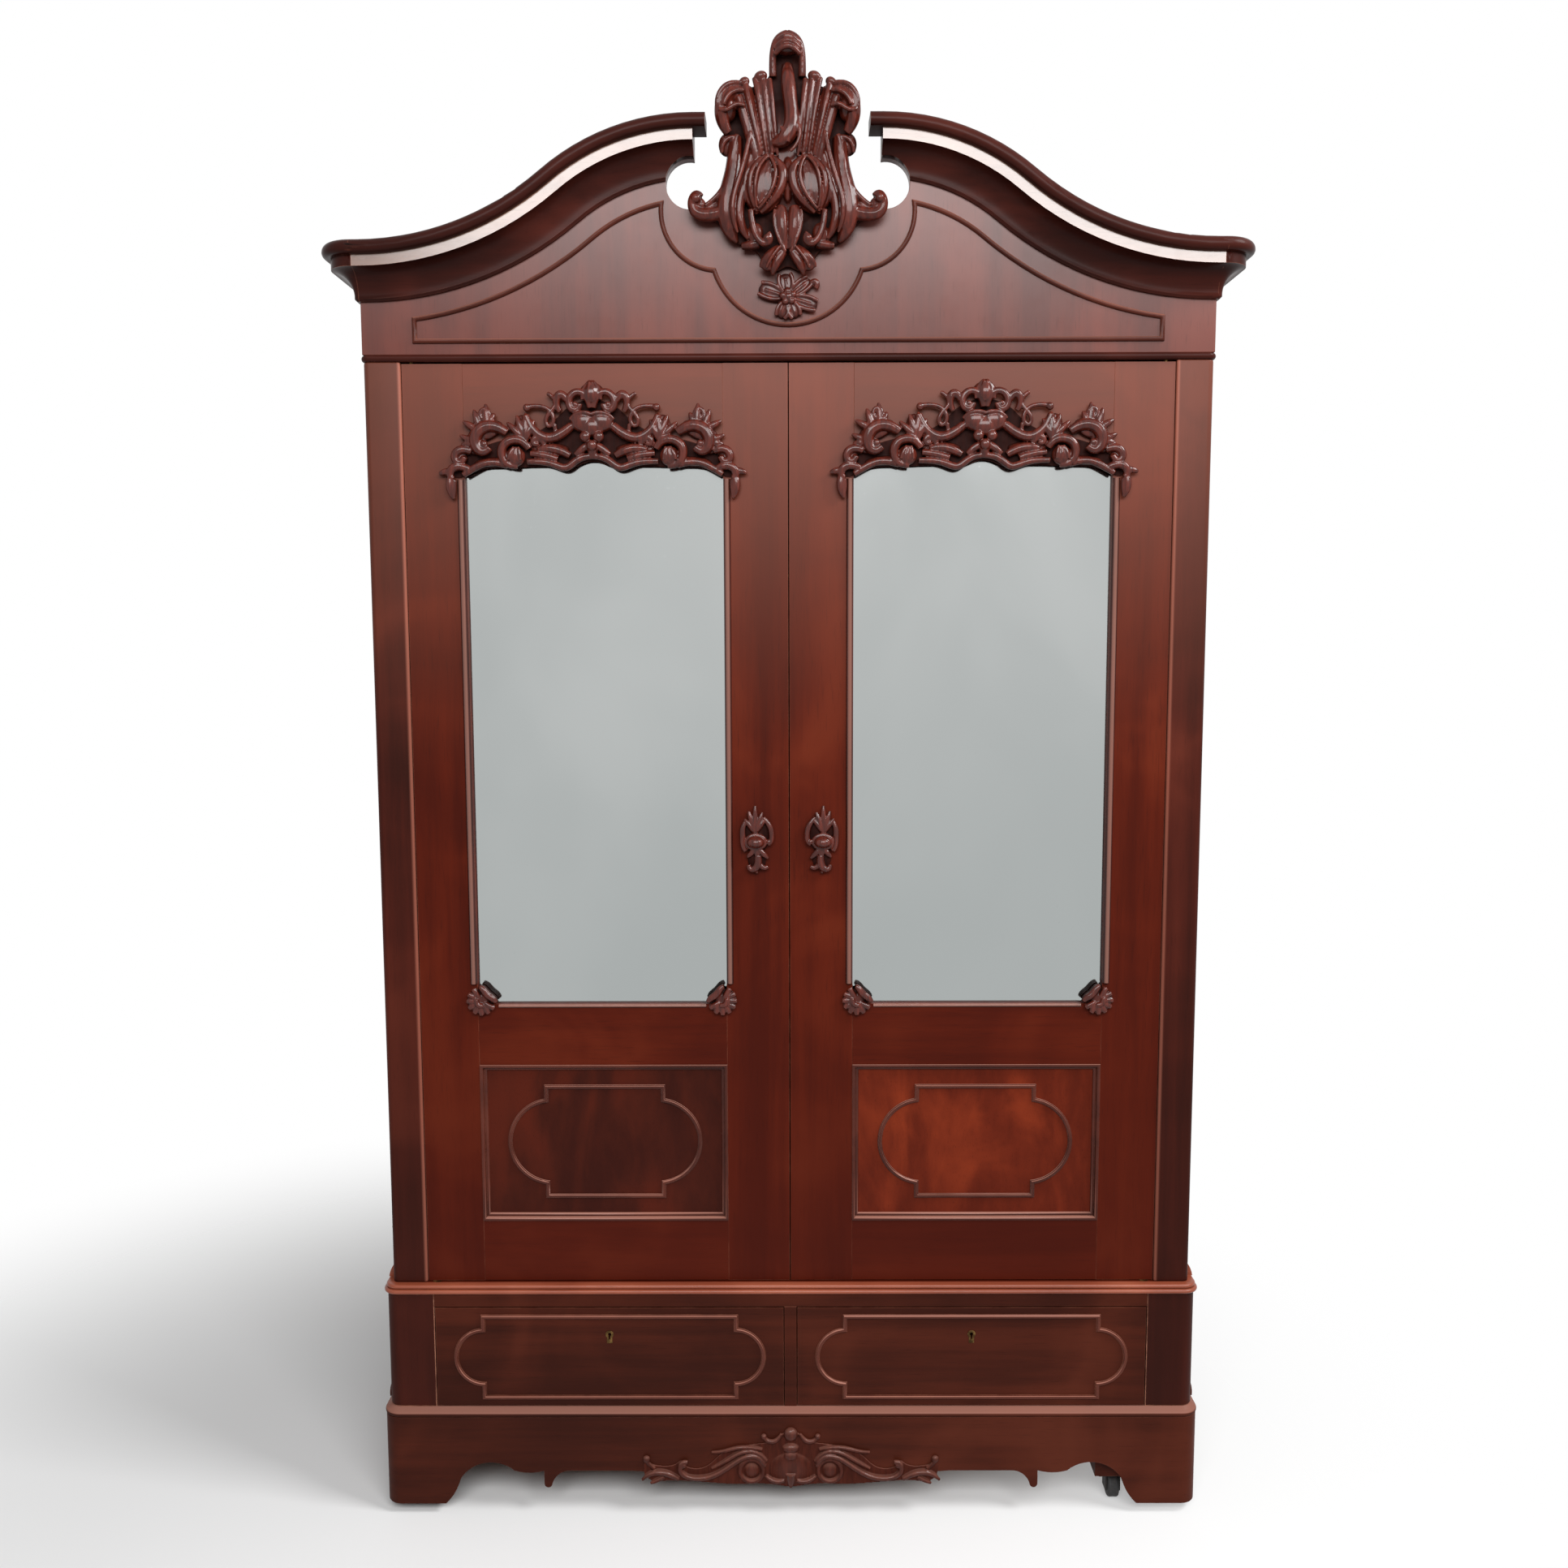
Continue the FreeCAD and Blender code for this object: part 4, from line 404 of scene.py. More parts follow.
# mirror beads: painted highlights on their upper and forward faces
mirror_bead_wood = wood("mahogany_mirror_bead", "z", CROWN_BROWN, polish=0.15, gloss=0.2, haze=0.3,
                        relief=0.01, top_highlight=0.35, crest_highlight=0.36)
# frieze bead: painted highlight on its upper faces
line_wood = wood("mahogany_line", "x", BEAD_BROWN, polish=0.06, gloss=0.24, haze=0.05, relief=0.01,
                 top_highlight=0.3)
# painted shade on the left panels, painted light on the right ones
left_flame = wood("mahogany_flame_left", "flame", FLAME_SHADED, gloss=0.36, figure=1.8)
right_flame = wood("mahogany_flame_right", "flame", FLAME_LIT, gloss=0.36, figure=1.8)
inner_level = wood("inner_wood_level", "x", PLAIN_BROWN, **INNER_LOOK)
inner_upright = wood("inner_wood_upright", "z", PLAIN_BROWN, **INNER_LOOK)
inner_deep = wood("inner_wood_deep", "y", PLAIN_BROWN, **INNER_LOOK)
# carvings: painted shade at the ground and in hollows; edges lighter, partly rubbed and partly painted
# highlight
crest_wood = carved_wood("carved_crest", FRONT, CREST_DEPTH, shine=0.45)
door_carving_wood = carved_wood("carved_door", DOOR_FACE, DOOR_CARVING_DEPTH)
flower_wood = carved_wood("carved_flower", FRONT, FLOWER_DEPTH)
# the apron carving: little painted shade at its ground and a painted highlight on its upper faces
apron_carving_wood = carved_wood("carved_apron", APRON_FACE, APRON_DEPTH, shine=0.3, rubbed=0.12,
                                 tones=APRON_BROWN, dark=0.15, top_highlight=0.14)
mirror_glass = mirror("mirror_glass")
rail_brass = metal("rail_brass", (112, 84, 40), (176, 140, 78), 0.32)
lock_brass = metal("lock_brass", (58, 42, 24), (126, 98, 58), 0.4)
bolt_steel = metal("bolt_steel", (92, 88, 84), (150, 147, 144), 0.35)
caster_iron = metal("caster_iron", (30, 28, 27), (62, 58, 56), 0.5, shine=0.8)
caster_rubber = wheel_rubber("caster_wheel")

SHARP_FROM = 35
ALL_SMOOTH = 180
BOARD_EASE = 0.8
BEAD_EASE = 1.3
POST_EASE = 3
SAME_SPOT = 0.01
SAME_PLANE = 0.1
FLAT_TURN = 0.4


def finished(name, shape, material, body, nodes, smooth=SHARP_FROM):
    """Turns a built shape into a shaded piece that rides on a body and stands for CAD nodes."""
    mesh = bpy.data.meshes.new(name)
    shape.to_mesh(mesh)
    shape.free()
    mesh.materials.append(material)
    mesh.shade_smooth()
    mesh.set_sharp_from_angle(angle=math.radians(smooth))
    piece = bpy.data.objects.new(name, mesh)
    scene.collection.objects.link(piece)
    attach(piece, body)
    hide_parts(*nodes)
    return piece


def eased(node, material, ease=BOARD_EASE, front_band=None):
    """A copy of a board or moulding with its sharp outer edges rubbed round.

    front_band is a plane, in millimetres of depth, and the finish of the faces that lie in it.
    """
    shape = bmesh.new()
    shape.from_mesh(frame["nodes"][node].data)
    bmesh.ops.remove_doubles(shape, verts=shape.verts, dist=SAME_SPOT * MM)
    bmesh.ops.dissolve_limit(shape, angle_limit=math.radians(FLAT_TURN), verts=shape.verts,
                             edges=shape.edges)
    weights = shape.edges.layers.float.new("bevel_weight_edge")
    for edge in shape.edges:
        clean = all(corner.is_manifold for corner in edge.verts)
        sharp = clean and edge.is_convex and edge.calc_face_angle() > math.radians(SHARP_FROM)
        edge[weights] = 1 if sharp else 0
    if front_band:
        for face in shape.faces:
            depths = [corner.co.y - front_band[0] * MM for corner in face.verts]
            flat = all(abs(depth) < SAME_PLANE * MM for depth in depths)
            face.material_index = 1 if flat else 0
    piece = finished(f"{node}_polished", shape, material, body_of[node], [node])
    if front_band:
        piece.data.materials.append(front_band[1])
    rounding = piece.modifiers.new("rubbed_edges", "BEVEL")
    rounding.width = ease * MM
    rounding.segments = 2
    rounding.limit_method = "WEIGHT"
    rounding.harden_normals = True


BOARDS = (
    (upright_wood, ("left_door_stiles", "right_door_stiles")),
    (post_wood, ("case_posts",)),
    (side_wood, ("side_panels",)),
    (level_wood, ("left_door_rails", "right_door_rails", "wardrobe_floor", "head_rail")),
    (ledge_wood, ("ledge_moulding",)),
    (mirror_bead_wood, ("left_mirror_bead", "right_mirror_bead")),
    (line_wood, ("frieze_panel_bead",)),
    (low_wood, ("plinth_front", "case_rails")),
    (plinth_bead_wood, ("plinth_moulding",)),
    (drawer_wood, ("left_drawer_front", "right_drawer_front")),
    (deep_wood, ("plinth_sides", "case_sides", "pediment_sides")),
    (crown_wood, ("crown_moulding", "carcase_top")),
    (frieze_wood, ("frieze_board",)),
    (left_flame, ("left_door_panels",)),
    (right_flame, ("right_door_panels",)),
)
INNER_BOARDS = (
    (inner_level, ("drawer_bed", "hat_shelf", "left_drawer_box", "right_drawer_box")),
    (inner_upright, ("back_boards",)),
    (inner_deep, ("rail_cleats",)),
)

for material, names in BOARDS:
    for name in names:
        eased(name, material)
for material, names in INNER_BOARDS:
    for name in names:
        eased(name, material)
for hand in ("left", "right"):
    eased(f"{hand}_panel_mouldings", bead_wood, ease=BEAD_EASE)
eased("corner_posts", corner_post_wood, ease=POST_EASE)
eased("cove_moulding", crown_wood, front_band=(FASCIA_FACE, fascia_wood))


def coat(material, *names):
    """Gives CAD pieces that are shown as they are their finish."""
    for name in names:
        mesh = frame["nodes"][name].data
        mesh.materials.clear()
        mesh.materials.append(material)


coat(mirror_glass, "left_mirror", "right_mirror")
coat(rail_brass, "hanging_rail")
coat(lock_brass, "left_drawer_lock", "right_drawer_lock", "left_door_fittings", "right_door_fittings")
coat(bolt_steel, "left_drawer_bolt", "right_drawer_bolt", "left_upper_bolt", "left_lower_bolt",
     "right_lock_bolt")
coat(caster_iron, "caster_brackets")
coat(caster_rubber, "wheel_front_left", "wheel_front_right", "wheel_back_left", "wheel_back_right")


ONCE = (1,)
RING_KNOTS = 12
LEAF_BELLY = 0.6


def turned(middle, angle, along, aside=0, way=1):
    """A place, across and up, that lies along a direction from a middle and aside of it."""
    slope = math.radians(angle)
    return (middle[0] + way * (math.cos(slope) * along - math.sin(slope) * aside),
            middle[1] + math.sin(slope) * along + math.cos(slope) * aside)


class Carving:
    """Strokes, balls and plates on a flat ground, in millimetres, melted into one carved surface."""

    def __init__(self, name, place, material, even=True, fat=1):
        self.name = name
        self.place = place
        self.material = material
        self.fat = fat
        self.sides = (1, -1) if even else ONCE
        self.strokes = bpy.data.curves.new(f"{name}_strokes", "CURVE")
        self.strokes.dimensions = "3D"
        self.strokes.bevel_depth = MM
        self.strokes.bevel_resolution = 3
        self.strokes.use_fill_caps = True
        self.shape = bmesh.new()

    def spot(self, side, x, z, out):
        """A point given across, up and out from the ground, in metres."""
        return Vector((self.place[0] + side * x, self.place[1] - out, z)) * MM

    def stroke(self, *points, sides=None, closed=False):
        """A round gouge line through (across, up, out, radius)."""
        for side in sides or self.sides:
            line = self.strokes.splines.new("NURBS")
            line.points.add(len(points) - 1)
            line.order_u = min(4, len(points))
            line.use_endpoint_u = not closed
            line.use_cyclic_u = closed
            line.resolution_u = 5
            for knot, (x, z, out, radius) in zip(line.points, points):
                knot.co = (*self.spot(side, x, z, out), 1)
                knot.radius = radius * self.fat

    def ball(self, x, z, out, size, lean=0, sides=None):
        """A rounded lump with radii across, out and up, leaning by an angle."""
        for side in sides or self.sides:
            turn = Matrix.Rotation(math.radians(side * lean), 4, "Y")
            radii = Matrix.Diagonal((*(radius * MM for radius in size), 1))
            move = Matrix.Translation(self.spot(side, x, z, out)) @ turn @ radii
            bmesh.ops.create_uvsphere(self.shape, u_segments=24, v_segments=16, radius=1, matrix=move)

    def leaf(self, base, tip, outs, radii, sides=None):
        """A leaf lobe from its base over its belly to its tip."""
        belly = tuple(start + (end - start) * LEAF_BELLY for start, end in zip(base, tip))
        self.stroke(*((*place, out, radius) for place, out, radius in zip((base, belly, tip), outs, radii)),
                    sides=sides)

    def fan(self, base, tips, radius, out):
        """Leaf lobes from one base to several tips, fullest in the middle."""
        for tip in tips:
            self.leaf(base, tip, (out, out + radius * 0.5, out - radius * 0.2),
                      (radius * 0.8, radius * 1.15, radius * 0.3))

    def ring(self, x, z, out, across, up, radius, sides=None):
        """A closed oval gouge line."""
        points = []
        for i in range(RING_KNOTS):
            angle = 2 * math.pi * i / RING_KNOTS
            points.append((x + across * math.cos(angle), z + up * math.sin(angle), out, radius))
        self.stroke(*points, sides=sides, closed=True)

    def plate(self, outline, low, high):
        """A flat ground with a smooth outline, given as its right half from top to bottom."""
        whole = outline + [(-x, z) for x, z in reversed(outline) if x > 0]
        curve = bpy.data.curves.new(f"{self.name}_plate", "CURVE")
        curve.dimensions = "2D"
        curve.fill_mode = "BOTH"
        curve.extrude = (high - low) / 2 * MM
        line = curve.splines.new("NURBS")
        line.points.add(len(whole) - 1)
        line.order_u = 3
        line.use_cyclic_u = True
        for knot, (x, z) in zip(line.points, whole):
            knot.co = (x * MM, z * MM, 0, 1)
        upright = Matrix.Rotation(math.pi / 2, 4, "X")
        self.add(curve, Matrix.Translation(self.spot(1, 0, 0, (low + high) / 2)) @ upright)

    def add(self, curve, move):
        """Takes a curve's solid into the carving."""
        carrier = bpy.data.objects.new("carrier", curve)
        mesh = bpy.data.meshes.new_from_object(carrier)
        mesh.transform(move)
        self.shape.from_mesh(mesh)
        bpy.data.objects.remove(carrier)
        bpy.data.meshes.remove(mesh)
        bpy.data.curves.remove(curve)

    def cut(self, body, nodes, grit, rubs=3, keep=1):
        """Melts it all into one surface with a grain of grit, rubs it and keeps a share of its faces."""
        self.add(self.strokes, Matrix.Identity(4))
        piece = finished(self.name, self.shape, self.material, body, nodes,
                         ALL_SMOOTH)
        melt = piece.modifiers.new("melt", "REMESH")
        melt.mode = "VOXEL"
        melt.voxel_size = grit * MM * 1
        melt.use_smooth_shade = True
        rub = piece.modifiers.new("rub", "SMOOTH")
        rub.factor = 0.5
        rub.iterations = rubs
        if keep < 1:
            thin = piece.modifiers.new("thin", "DECIMATE")
            thin.ratio = keep


CREST_GRIT = 1.4
CREST_KEEP = 0.45
FLOWER_GRIT = 1.0
FLOWER_FAT = 1.2
FLOWER_MIDDLE = (0, 2248)
DOOR_GRIT = 1.2
DOOR_KEEP = 0.5
DOOR_FAT = 1.3
DOOR_MIDDLE = 346
PULL_GRIT = 0.7
PULL_RUBS = 2
PULL_MIDDLE = 59
APRON_GRIT = 1.2
SHELL_PLACES = (124, 568)
SHELL_LEVEL = 993
SHELL_LOBES = 8
SHELL_SPREAD = 205
SHELL_LEAN = -45
CRESCENT_KNOTS = 6
CRESCENT_SPREAD = 150


def crest():
    """Crest: plume head, leaf shell with rolled ears, flanks with volutes, two pods, a bud and leaves."""
    c = Carving("crest", (0, FRONT), crest_wood)
    c.plate([(0, 2668), (24, 2662), (27, 2618), (48, 2600), (74, 2596), (104, 2582), (116, 2552),
             (110, 2518), (94, 2500), (92, 2466), (98, 2438), (112, 2408), (142, 2394), (150, 2384),
             (122, 2374), (110, 2356), (94, 2338), (70, 2334), (50, 2322), (42, 2300), (22, 2288),
             (0, 2302)], 0, 12)
    c.ball(0, 2470, 8, (74, 15, 112), sides=ONCE)
    # plume head: a ridged hood over a hollow, from which the stem comes down
    c.ball(0, 2663, 22, (25, 15, 18), sides=ONCE)
    c.stroke((0, 2678, 26, 7), (16, 2674, 27, 7), (25, 2656, 26, 6.5), (26, 2634, 22, 6),
             (25, 2611, 18, 7))
    for level, out in ((2671, 37), (2662, 41), (2653, 41)):
        c.stroke((0, level, out, 4.5), (11, level - 1, out - 1, 4.5), (21, level - 10, out - 9, 4))
    c.stroke((0, 2632, 14, 8), (0, 2610, 24, 13), (3, 2580, 29, 13), (7, 2550, 33, 12), (8, 2526, 36, 14),
             (-1, 2505, 37, 15), (-15, 2497, 35, 11), (-28, 2498, 31, 4), sides=ONCE)
    # small leaves at the curled end of the stem
    c.stroke((16, 2530, 42, 3), (25, 2512, 45, 3.5), (20, 2492, 45, 3.5), (4, 2481, 43, 3), sides=ONCE)
    for x, z in ((-12, 2522), (2, 2530), (16, 2528)):
        c.leaf((0, 2496), (x, z), (44, 46, 43), (4, 4, 2), sides=ONCE)
    # leaves of the shell, each with a curled tip and ridges that draw together towards the pods
    c.stroke((42, 2600, 17, 15), (40, 2570, 23, 16), (31, 2526, 25, 14), (26, 2484, 21, 10))
    for top, tip, low in ((31, 2604, 17), (43, 2612, 26), (56, 2606, 35)):
        c.stroke((top, tip, 26, 5), (top * 0.9, 2580, 36, 4.5),
                 (top * 0.5 + low * 0.5 - 2, 2528, 38, 3.8), (low, 2478, 29, 2.5))
    c.ball(46, 2609, 25, (12, 11, 9), 20)
    c.stroke((72, 2590, 20, 12), (64, 2562, 27, 13), (55, 2520, 29, 11), (46, 2480, 24, 8))
    c.stroke((73, 2600, 29, 6), (67, 2572, 39, 5), (57, 2525, 40, 4), (46, 2484, 31, 2.5))
    c.ball(74, 2599, 28, (10, 10, 8), 30)
    c.stroke((83, 2574, 30, 9), (70, 2530, 33, 9), (60, 2495, 30, 9), (54, 2470, 26, 6))
    # rolled ears with a scalloped lip over a hollow
    c.ball(105, 2562, 22, (18, 17, 27), 8)
    c.stroke((74, 2583, 24, 10), (90, 2585, 30, 12), (108, 2576, 33, 13), (115, 2551, 33, 13),
             (111, 2530, 29, 11), (101, 2517, 25, 8))
    c.stroke((78, 2596, 32, 4), (96, 2597, 39, 4.5), (116, 2585, 43, 4.5), (123, 2560, 41, 4),
             (118, 2540, 36, 3))
    c.stroke((76, 2582, 39, 4), (91, 2583, 44, 4.5), (104, 2573, 46, 4.5), (108, 2557, 44, 4))
    c.stroke((117, 2550, 42, 3), (105, 2546, 46, 3.5), (96, 2552, 46, 4), (86, 2560, 45, 4),
             (73, 2556, 42, 3))
    c.ball(105, 2500, 16, (14, 10, 19))
    c.stroke((88, 2510, 26, 3.5), (103, 2511, 30, 4), (114, 2500, 30, 4), (113, 2484, 26, 3.5))
    # flanks: one broad band with a light inner rim and outer edge, running out into the side volutes
    c.stroke((90, 2512, 18, 12), (90, 2470, 20, 14), (98, 2435, 22, 16), (105, 2402, 23, 19),
             (104, 2368, 22, 18), (96, 2346, 20, 10), (88, 2338, 17, 4))
    c.stroke((86, 2514, 27, 4), (95, 2482, 29, 4.5), (98, 2455, 29, 4.5), (108, 2428, 29, 4.5),
             (124, 2408, 28, 4.5), (142, 2397, 26, 4))
    c.stroke((64, 2514, 36, 4), (72, 2470, 41, 4.5), (86, 2430, 43, 4.5), (94, 2404, 43, 4.5),
             (96, 2380, 42, 4.5), (91, 2360, 38, 4), (86, 2350, 33, 2))
    c.stroke((60, 2490, 24, 8), (70, 2450, 26, 9), (82, 2410, 27, 9), (86, 2380, 27, 9),
             (78, 2356, 25, 8), (68, 2343, 22, 4))
    c.stroke((110, 2388, 22, 12), (134, 2381, 22, 12), (156, 2382, 23, 10.5), (165, 2395, 24, 9),
             (165, 2410, 26, 8), (156, 2419, 28, 7), (149, 2411, 29, 6))
    c.ball(130, 2394, 20, (20, 9, 12), 20)
    c.ball(158, 2408, 31, (8.5, 8, 8.5))
    c.ball(154, 2400, 22, (13, 8, 12))
    # pods: almond husks, pointed at both ends, that open over a ribbed kernel
    c.ball(0, 2440, 20, (10, 14, 38), sides=ONCE)
    c.ball(41, 2431, 22, (36, 17, 48), -12)
    c.stroke((37, 2479, 25, 3), (66, 2466, 30, 6), (77, 2436, 30, 7), (71, 2406, 29, 6),
             (53, 2383, 25, 3))
    c.stroke((36, 2478, 31, 3), (57, 2464, 38, 5), (67, 2436, 41, 5.5), (65, 2408, 38, 5),
             (53, 2386, 30, 3))
    c.stroke((34, 2475, 37, 2.5), (48, 2462, 44, 3.2), (56, 2436, 46, 3.2), (57, 2410, 43, 3),
             (53, 2391, 36, 2))
    c.stroke((32, 2479, 27, 4), (8, 2464, 35, 8), (5, 2436, 38, 9), (18, 2407, 36, 8), (47, 2385, 27, 4))
    c.stroke((30, 2475, 36, 2.5), (18, 2455, 44, 3.5), (21, 2427, 45, 3.5), (35, 2404, 42, 3.5),
             (51, 2389, 35, 2))
    for shift, swell in ((-9, 4), (1, 5), (10, 4)):
        c.stroke((30 + shift * 0.4, 2470, 32, 2), (37 + shift, 2436, 39, swell),
                 (50 + shift * 0.4, 2398, 33, 2))
    # bud in two halves, small volutes beside it and the leaves that hang below
    c.stroke((11, 2394, 26, 9), (13, 2372, 32, 15), (10, 2348, 33, 12), (3, 2323, 29, 4))
    c.stroke((22, 2388, 34, 3), (27, 2366, 38, 3.5), (19, 2341, 38, 3.5), (4, 2318, 33, 3))
    c.stroke((64, 2388, 34, 5), (61, 2355, 36, 6), (49, 2333, 37, 6), (35, 2328, 38, 5.5),
             (27, 2339, 39, 5), (34, 2348, 40, 4.5))
    c.ball(35, 2339, 41, (7, 6, 7))
    c.ball(56, 2352, 20, (14, 10, 18))
    c.stroke((50, 2336, 20, 9), (66, 2332, 19, 9), (80, 2332, 17, 6))
    c.ball(29, 2305, 22, (20, 9, 13), 42)
    c.stroke((14, 2324, 26, 9), (33, 2313, 29, 11), (45, 2304, 25, 6), (47, 2295, 21, 3))
    c.stroke((8, 2320, 27, 8), (21, 2301, 30, 10), (27, 2289, 27, 6), (26, 2282, 21, 2.5))
    c.stroke((14, 2326, 37, 2.5), (32, 2305, 39, 3), (37, 2292, 31, 2))
    c.cut("carcase", ["crest_carving"], CREST_GRIT, keep=CREST_KEEP)


def flower():
    """Six uneven petals with raised rims, curled at their tips, round a cluster of small balls."""
    c = Carving("flower", (0, FRONT), flower_wood, even=False, fat=FLOWER_FAT)
    x, z = FLOWER_MIDDLE
    for angle, reach, wide in ((98, 40, 16), (38, 48, 13), (-16, 52, 14), (-66, 36, 13), (-112, 36, 13),
                               (162, 52, 16)):
        c.ball(*turned(FLOWER_MIDDLE, angle, reach * 0.55), 5, (reach * 0.48, 5, wide), -angle)
        for way in (-0.85, 0.85):
            c.stroke((*turned(FLOWER_MIDDLE, angle, 9, way * 5), 8, 2),
                     (*turned(FLOWER_MIDDLE, angle, reach * 0.55, way * wide * 1.25), 11, 3.2),
                     (*turned(FLOWER_MIDDLE, angle, reach, way * wide * 0.7), 8, 3))
        c.stroke((*turned(FLOWER_MIDDLE, angle, 12), 10, 2),
                 (*turned(FLOWER_MIDDLE, angle, reach * 0.8), 9, 1.5))
    for i in range(5):
        angle = 2 * math.pi * i / 5 + 0.4
        c.ball(x + 9 * math.cos(angle), z + 9 * math.sin(angle), 12, (6, 6, 6))
    c.ball(x, z, 14, (6, 5.5, 6))
    # small curled leaf at its upper right
    c.stroke((40, 2272, 7, 4), (49, 2279, 9, 4.5), (54, 2271, 9, 4.5), (48, 2263, 8, 4))
    c.cut("carcase", ["crest_flower"], FLOWER_GRIT)


def door_carving(hand, side):
    """Open scroll carving over a mirror: bud, heart with berries, ribbons, leaf fans and end leaves."""
    c = Carving(f"{hand}_door_carving", (side * DOOR_MIDDLE, DOOR_FACE), door_carving_wood, fat=DOOR_FAT)
    # bud between two curls
    c.stroke((0, 2108, 8, 2.5), (0, 2098, 10, 12), (0, 2082, 10, 16), (0, 2070, 9, 8), sides=ONCE)
    c.ball(0, 2087, 7, (22, 8, 18), sides=ONCE)
    c.stroke((2, 2107, 13, 2), (19, 2092, 15, 3), (16, 2074, 14, 2.5))
    c.stroke((2, 2104, 17, 1.8), (8, 2090, 20, 2.2), (2, 2074, 17, 1.8))
    c.stroke((3, 2060, 12, 4), (6, 2080, 14, 5), (20, 2091, 14, 5), (37, 2084, 14, 5.5),
             (42, 2067, 14, 5), (34, 2054, 14, 5), (22, 2057, 14, 4.5), (21, 2067, 15, 4))
    c.ball(29, 2066, 15, (5, 5, 5))
    c.stroke((42, 2072, 11, 5), (51, 2087, 12, 6), (62, 2083, 12, 6), (64, 2066, 11, 5),
             (56, 2054, 10, 4))
    # thin ground behind the openings
    c.plate([(0, 2080), (44, 2066), (72, 2036), (108, 2016), (150, 2010), (200, 1996), (240, 1968),
             (252, 1942), (234, 1940), (198, 1958), (150, 1958), (116, 1960), (60, 1960), (42, 1954),
             (0, 1974)], 0, 2.5)
    # heart with its rim, and the berries under it
    c.ball(15, 2037, 10, (23, 14, 19))
    c.ball(0, 2028, 11, (24, 14, 18), sides=ONCE)
    c.stroke((0, 2048, 22, 2.5), (13, 2055, 22, 2.8), (30, 2051, 18, 2.8), (38, 2040, 13, 2.8))
    c.ball(12, 2010, 18, (9.5, 8, 9.5))
    c.ball(0, 1995, 18, (9.5, 8, 9.5), sides=ONCE)
    c.stroke((0, 1992, 10, 9), (0, 1978, 9, 5), sides=ONCE)
    c.stroke((6, 1997, 10, 5), (18, 1991, 12, 6), (30, 1979, 10, 4))
    # ribbon loops and the arms behind them
    c.stroke((78, 2086, 10, 3), (66, 2080, 12, 3), (60, 2066, 13, 3), (73, 2054, 14, 3),
             (84, 2040, 13, 3), (78, 2026, 12, 3), (66, 2034, 13, 3), (68, 2054, 14, 3),
             (86, 2066, 13, 3), (112, 2063, 11, 3.5))
    c.stroke((66, 2032, 12, 2.8), (64, 2020, 12, 2.8), (67, 2012, 10, 2.5))
    c.ball(114, 2061, 12, (7, 7, 7))
    c.stroke((36, 2030, 9, 6), (52, 2017, 10, 7), (70, 2007, 10, 7), (92, 2010, 10, 7),
             (110, 2028, 11, 6), (117, 2048, 11, 5))
    c.fan((119, 2006), ((102, 2040), (117, 2052), (133, 2048), (150, 2036)), 6, 11)
    c.stroke((84, 1998, 10, 4), (96, 2013, 12, 4.5), (108, 2006, 12, 4.5), (103, 1995, 12, 4),
             (95, 2000, 12, 3.5))
    # leaf bodies under the scrolls
    for x, z, across, up, lean in ((186, 2022, 30, 15, 24), (206, 2004, 18, 24, -10), (76, 1990, 34, 10, 0),
                                   (122, 2026, 16, 24, 10), (236, 1974, 14, 12, 0), (176, 1968, 34, 8, 4)):
        c.ball(x, z, 6, (across, 7, up), lean)
    # round boss in a scroll
    c.ball(136, 1977, 10, (17, 12, 17))
    for shift in (-9, 0, 9):
        c.stroke((134 + shift * 0.4, 1992, 17, 2.4), (136 + shift, 1982, 21, 2.8),
                 (137 + shift * 1.2, 1970, 19, 2))
    c.stroke((112, 1990, 11, 5), (121, 2005, 13, 6), (142, 2008, 14, 6.5), (160, 1996, 14, 6.5),
             (162, 1974, 13, 6), (149, 1960, 12, 5), (133, 1960, 11, 4))
    # end scroll with its leaf lobes
    c.stroke((150, 2018, 11, 6), (168, 2031, 12, 8), (191, 2031, 13, 9), (208, 2014, 13, 9),
             (207, 1991, 13, 8), (192, 1981, 13, 6), (181, 1992, 14, 5))
    c.ball(191, 1998, 14, (7, 7, 7))
    c.fan((184, 2026), ((172, 2052), (187, 2068)), 6, 11)
    c.fan((196, 2020), ((208, 2058), (228, 2038)), 6, 11)
    c.fan((204, 2000), ((234, 2014), (232, 1998)), 5.5, 10)
    c.ring(189, 2050, 13, 8, 9, 3)
    c.stroke((214, 1986, 10, 5), (231, 1993, 12, 6), (246, 1982, 12, 6), (243, 1967, 12, 5),
             (230, 1965, 12, 4.5), (226, 1976, 13, 4))
    c.stroke((221, 1956, 10, 5), (236, 1963, 12, 6), (253, 1957, 12, 6), (256, 1944, 11, 5),
             (247, 1938, 11, 4))
    c.stroke((246, 1950, 9, 5), (262, 1953, 11, 6), (272, 1947, 9, 2.5))
    c.stroke((251, 1944, 9, 5), (257, 1926, 11, 7), (252, 1912, 10, 5), (247, 1904, 8, 2.5))
    c.stroke((247, 1936, 9, 3.5), (247, 1920, 10, 4), (248, 1908, 8, 2.5))
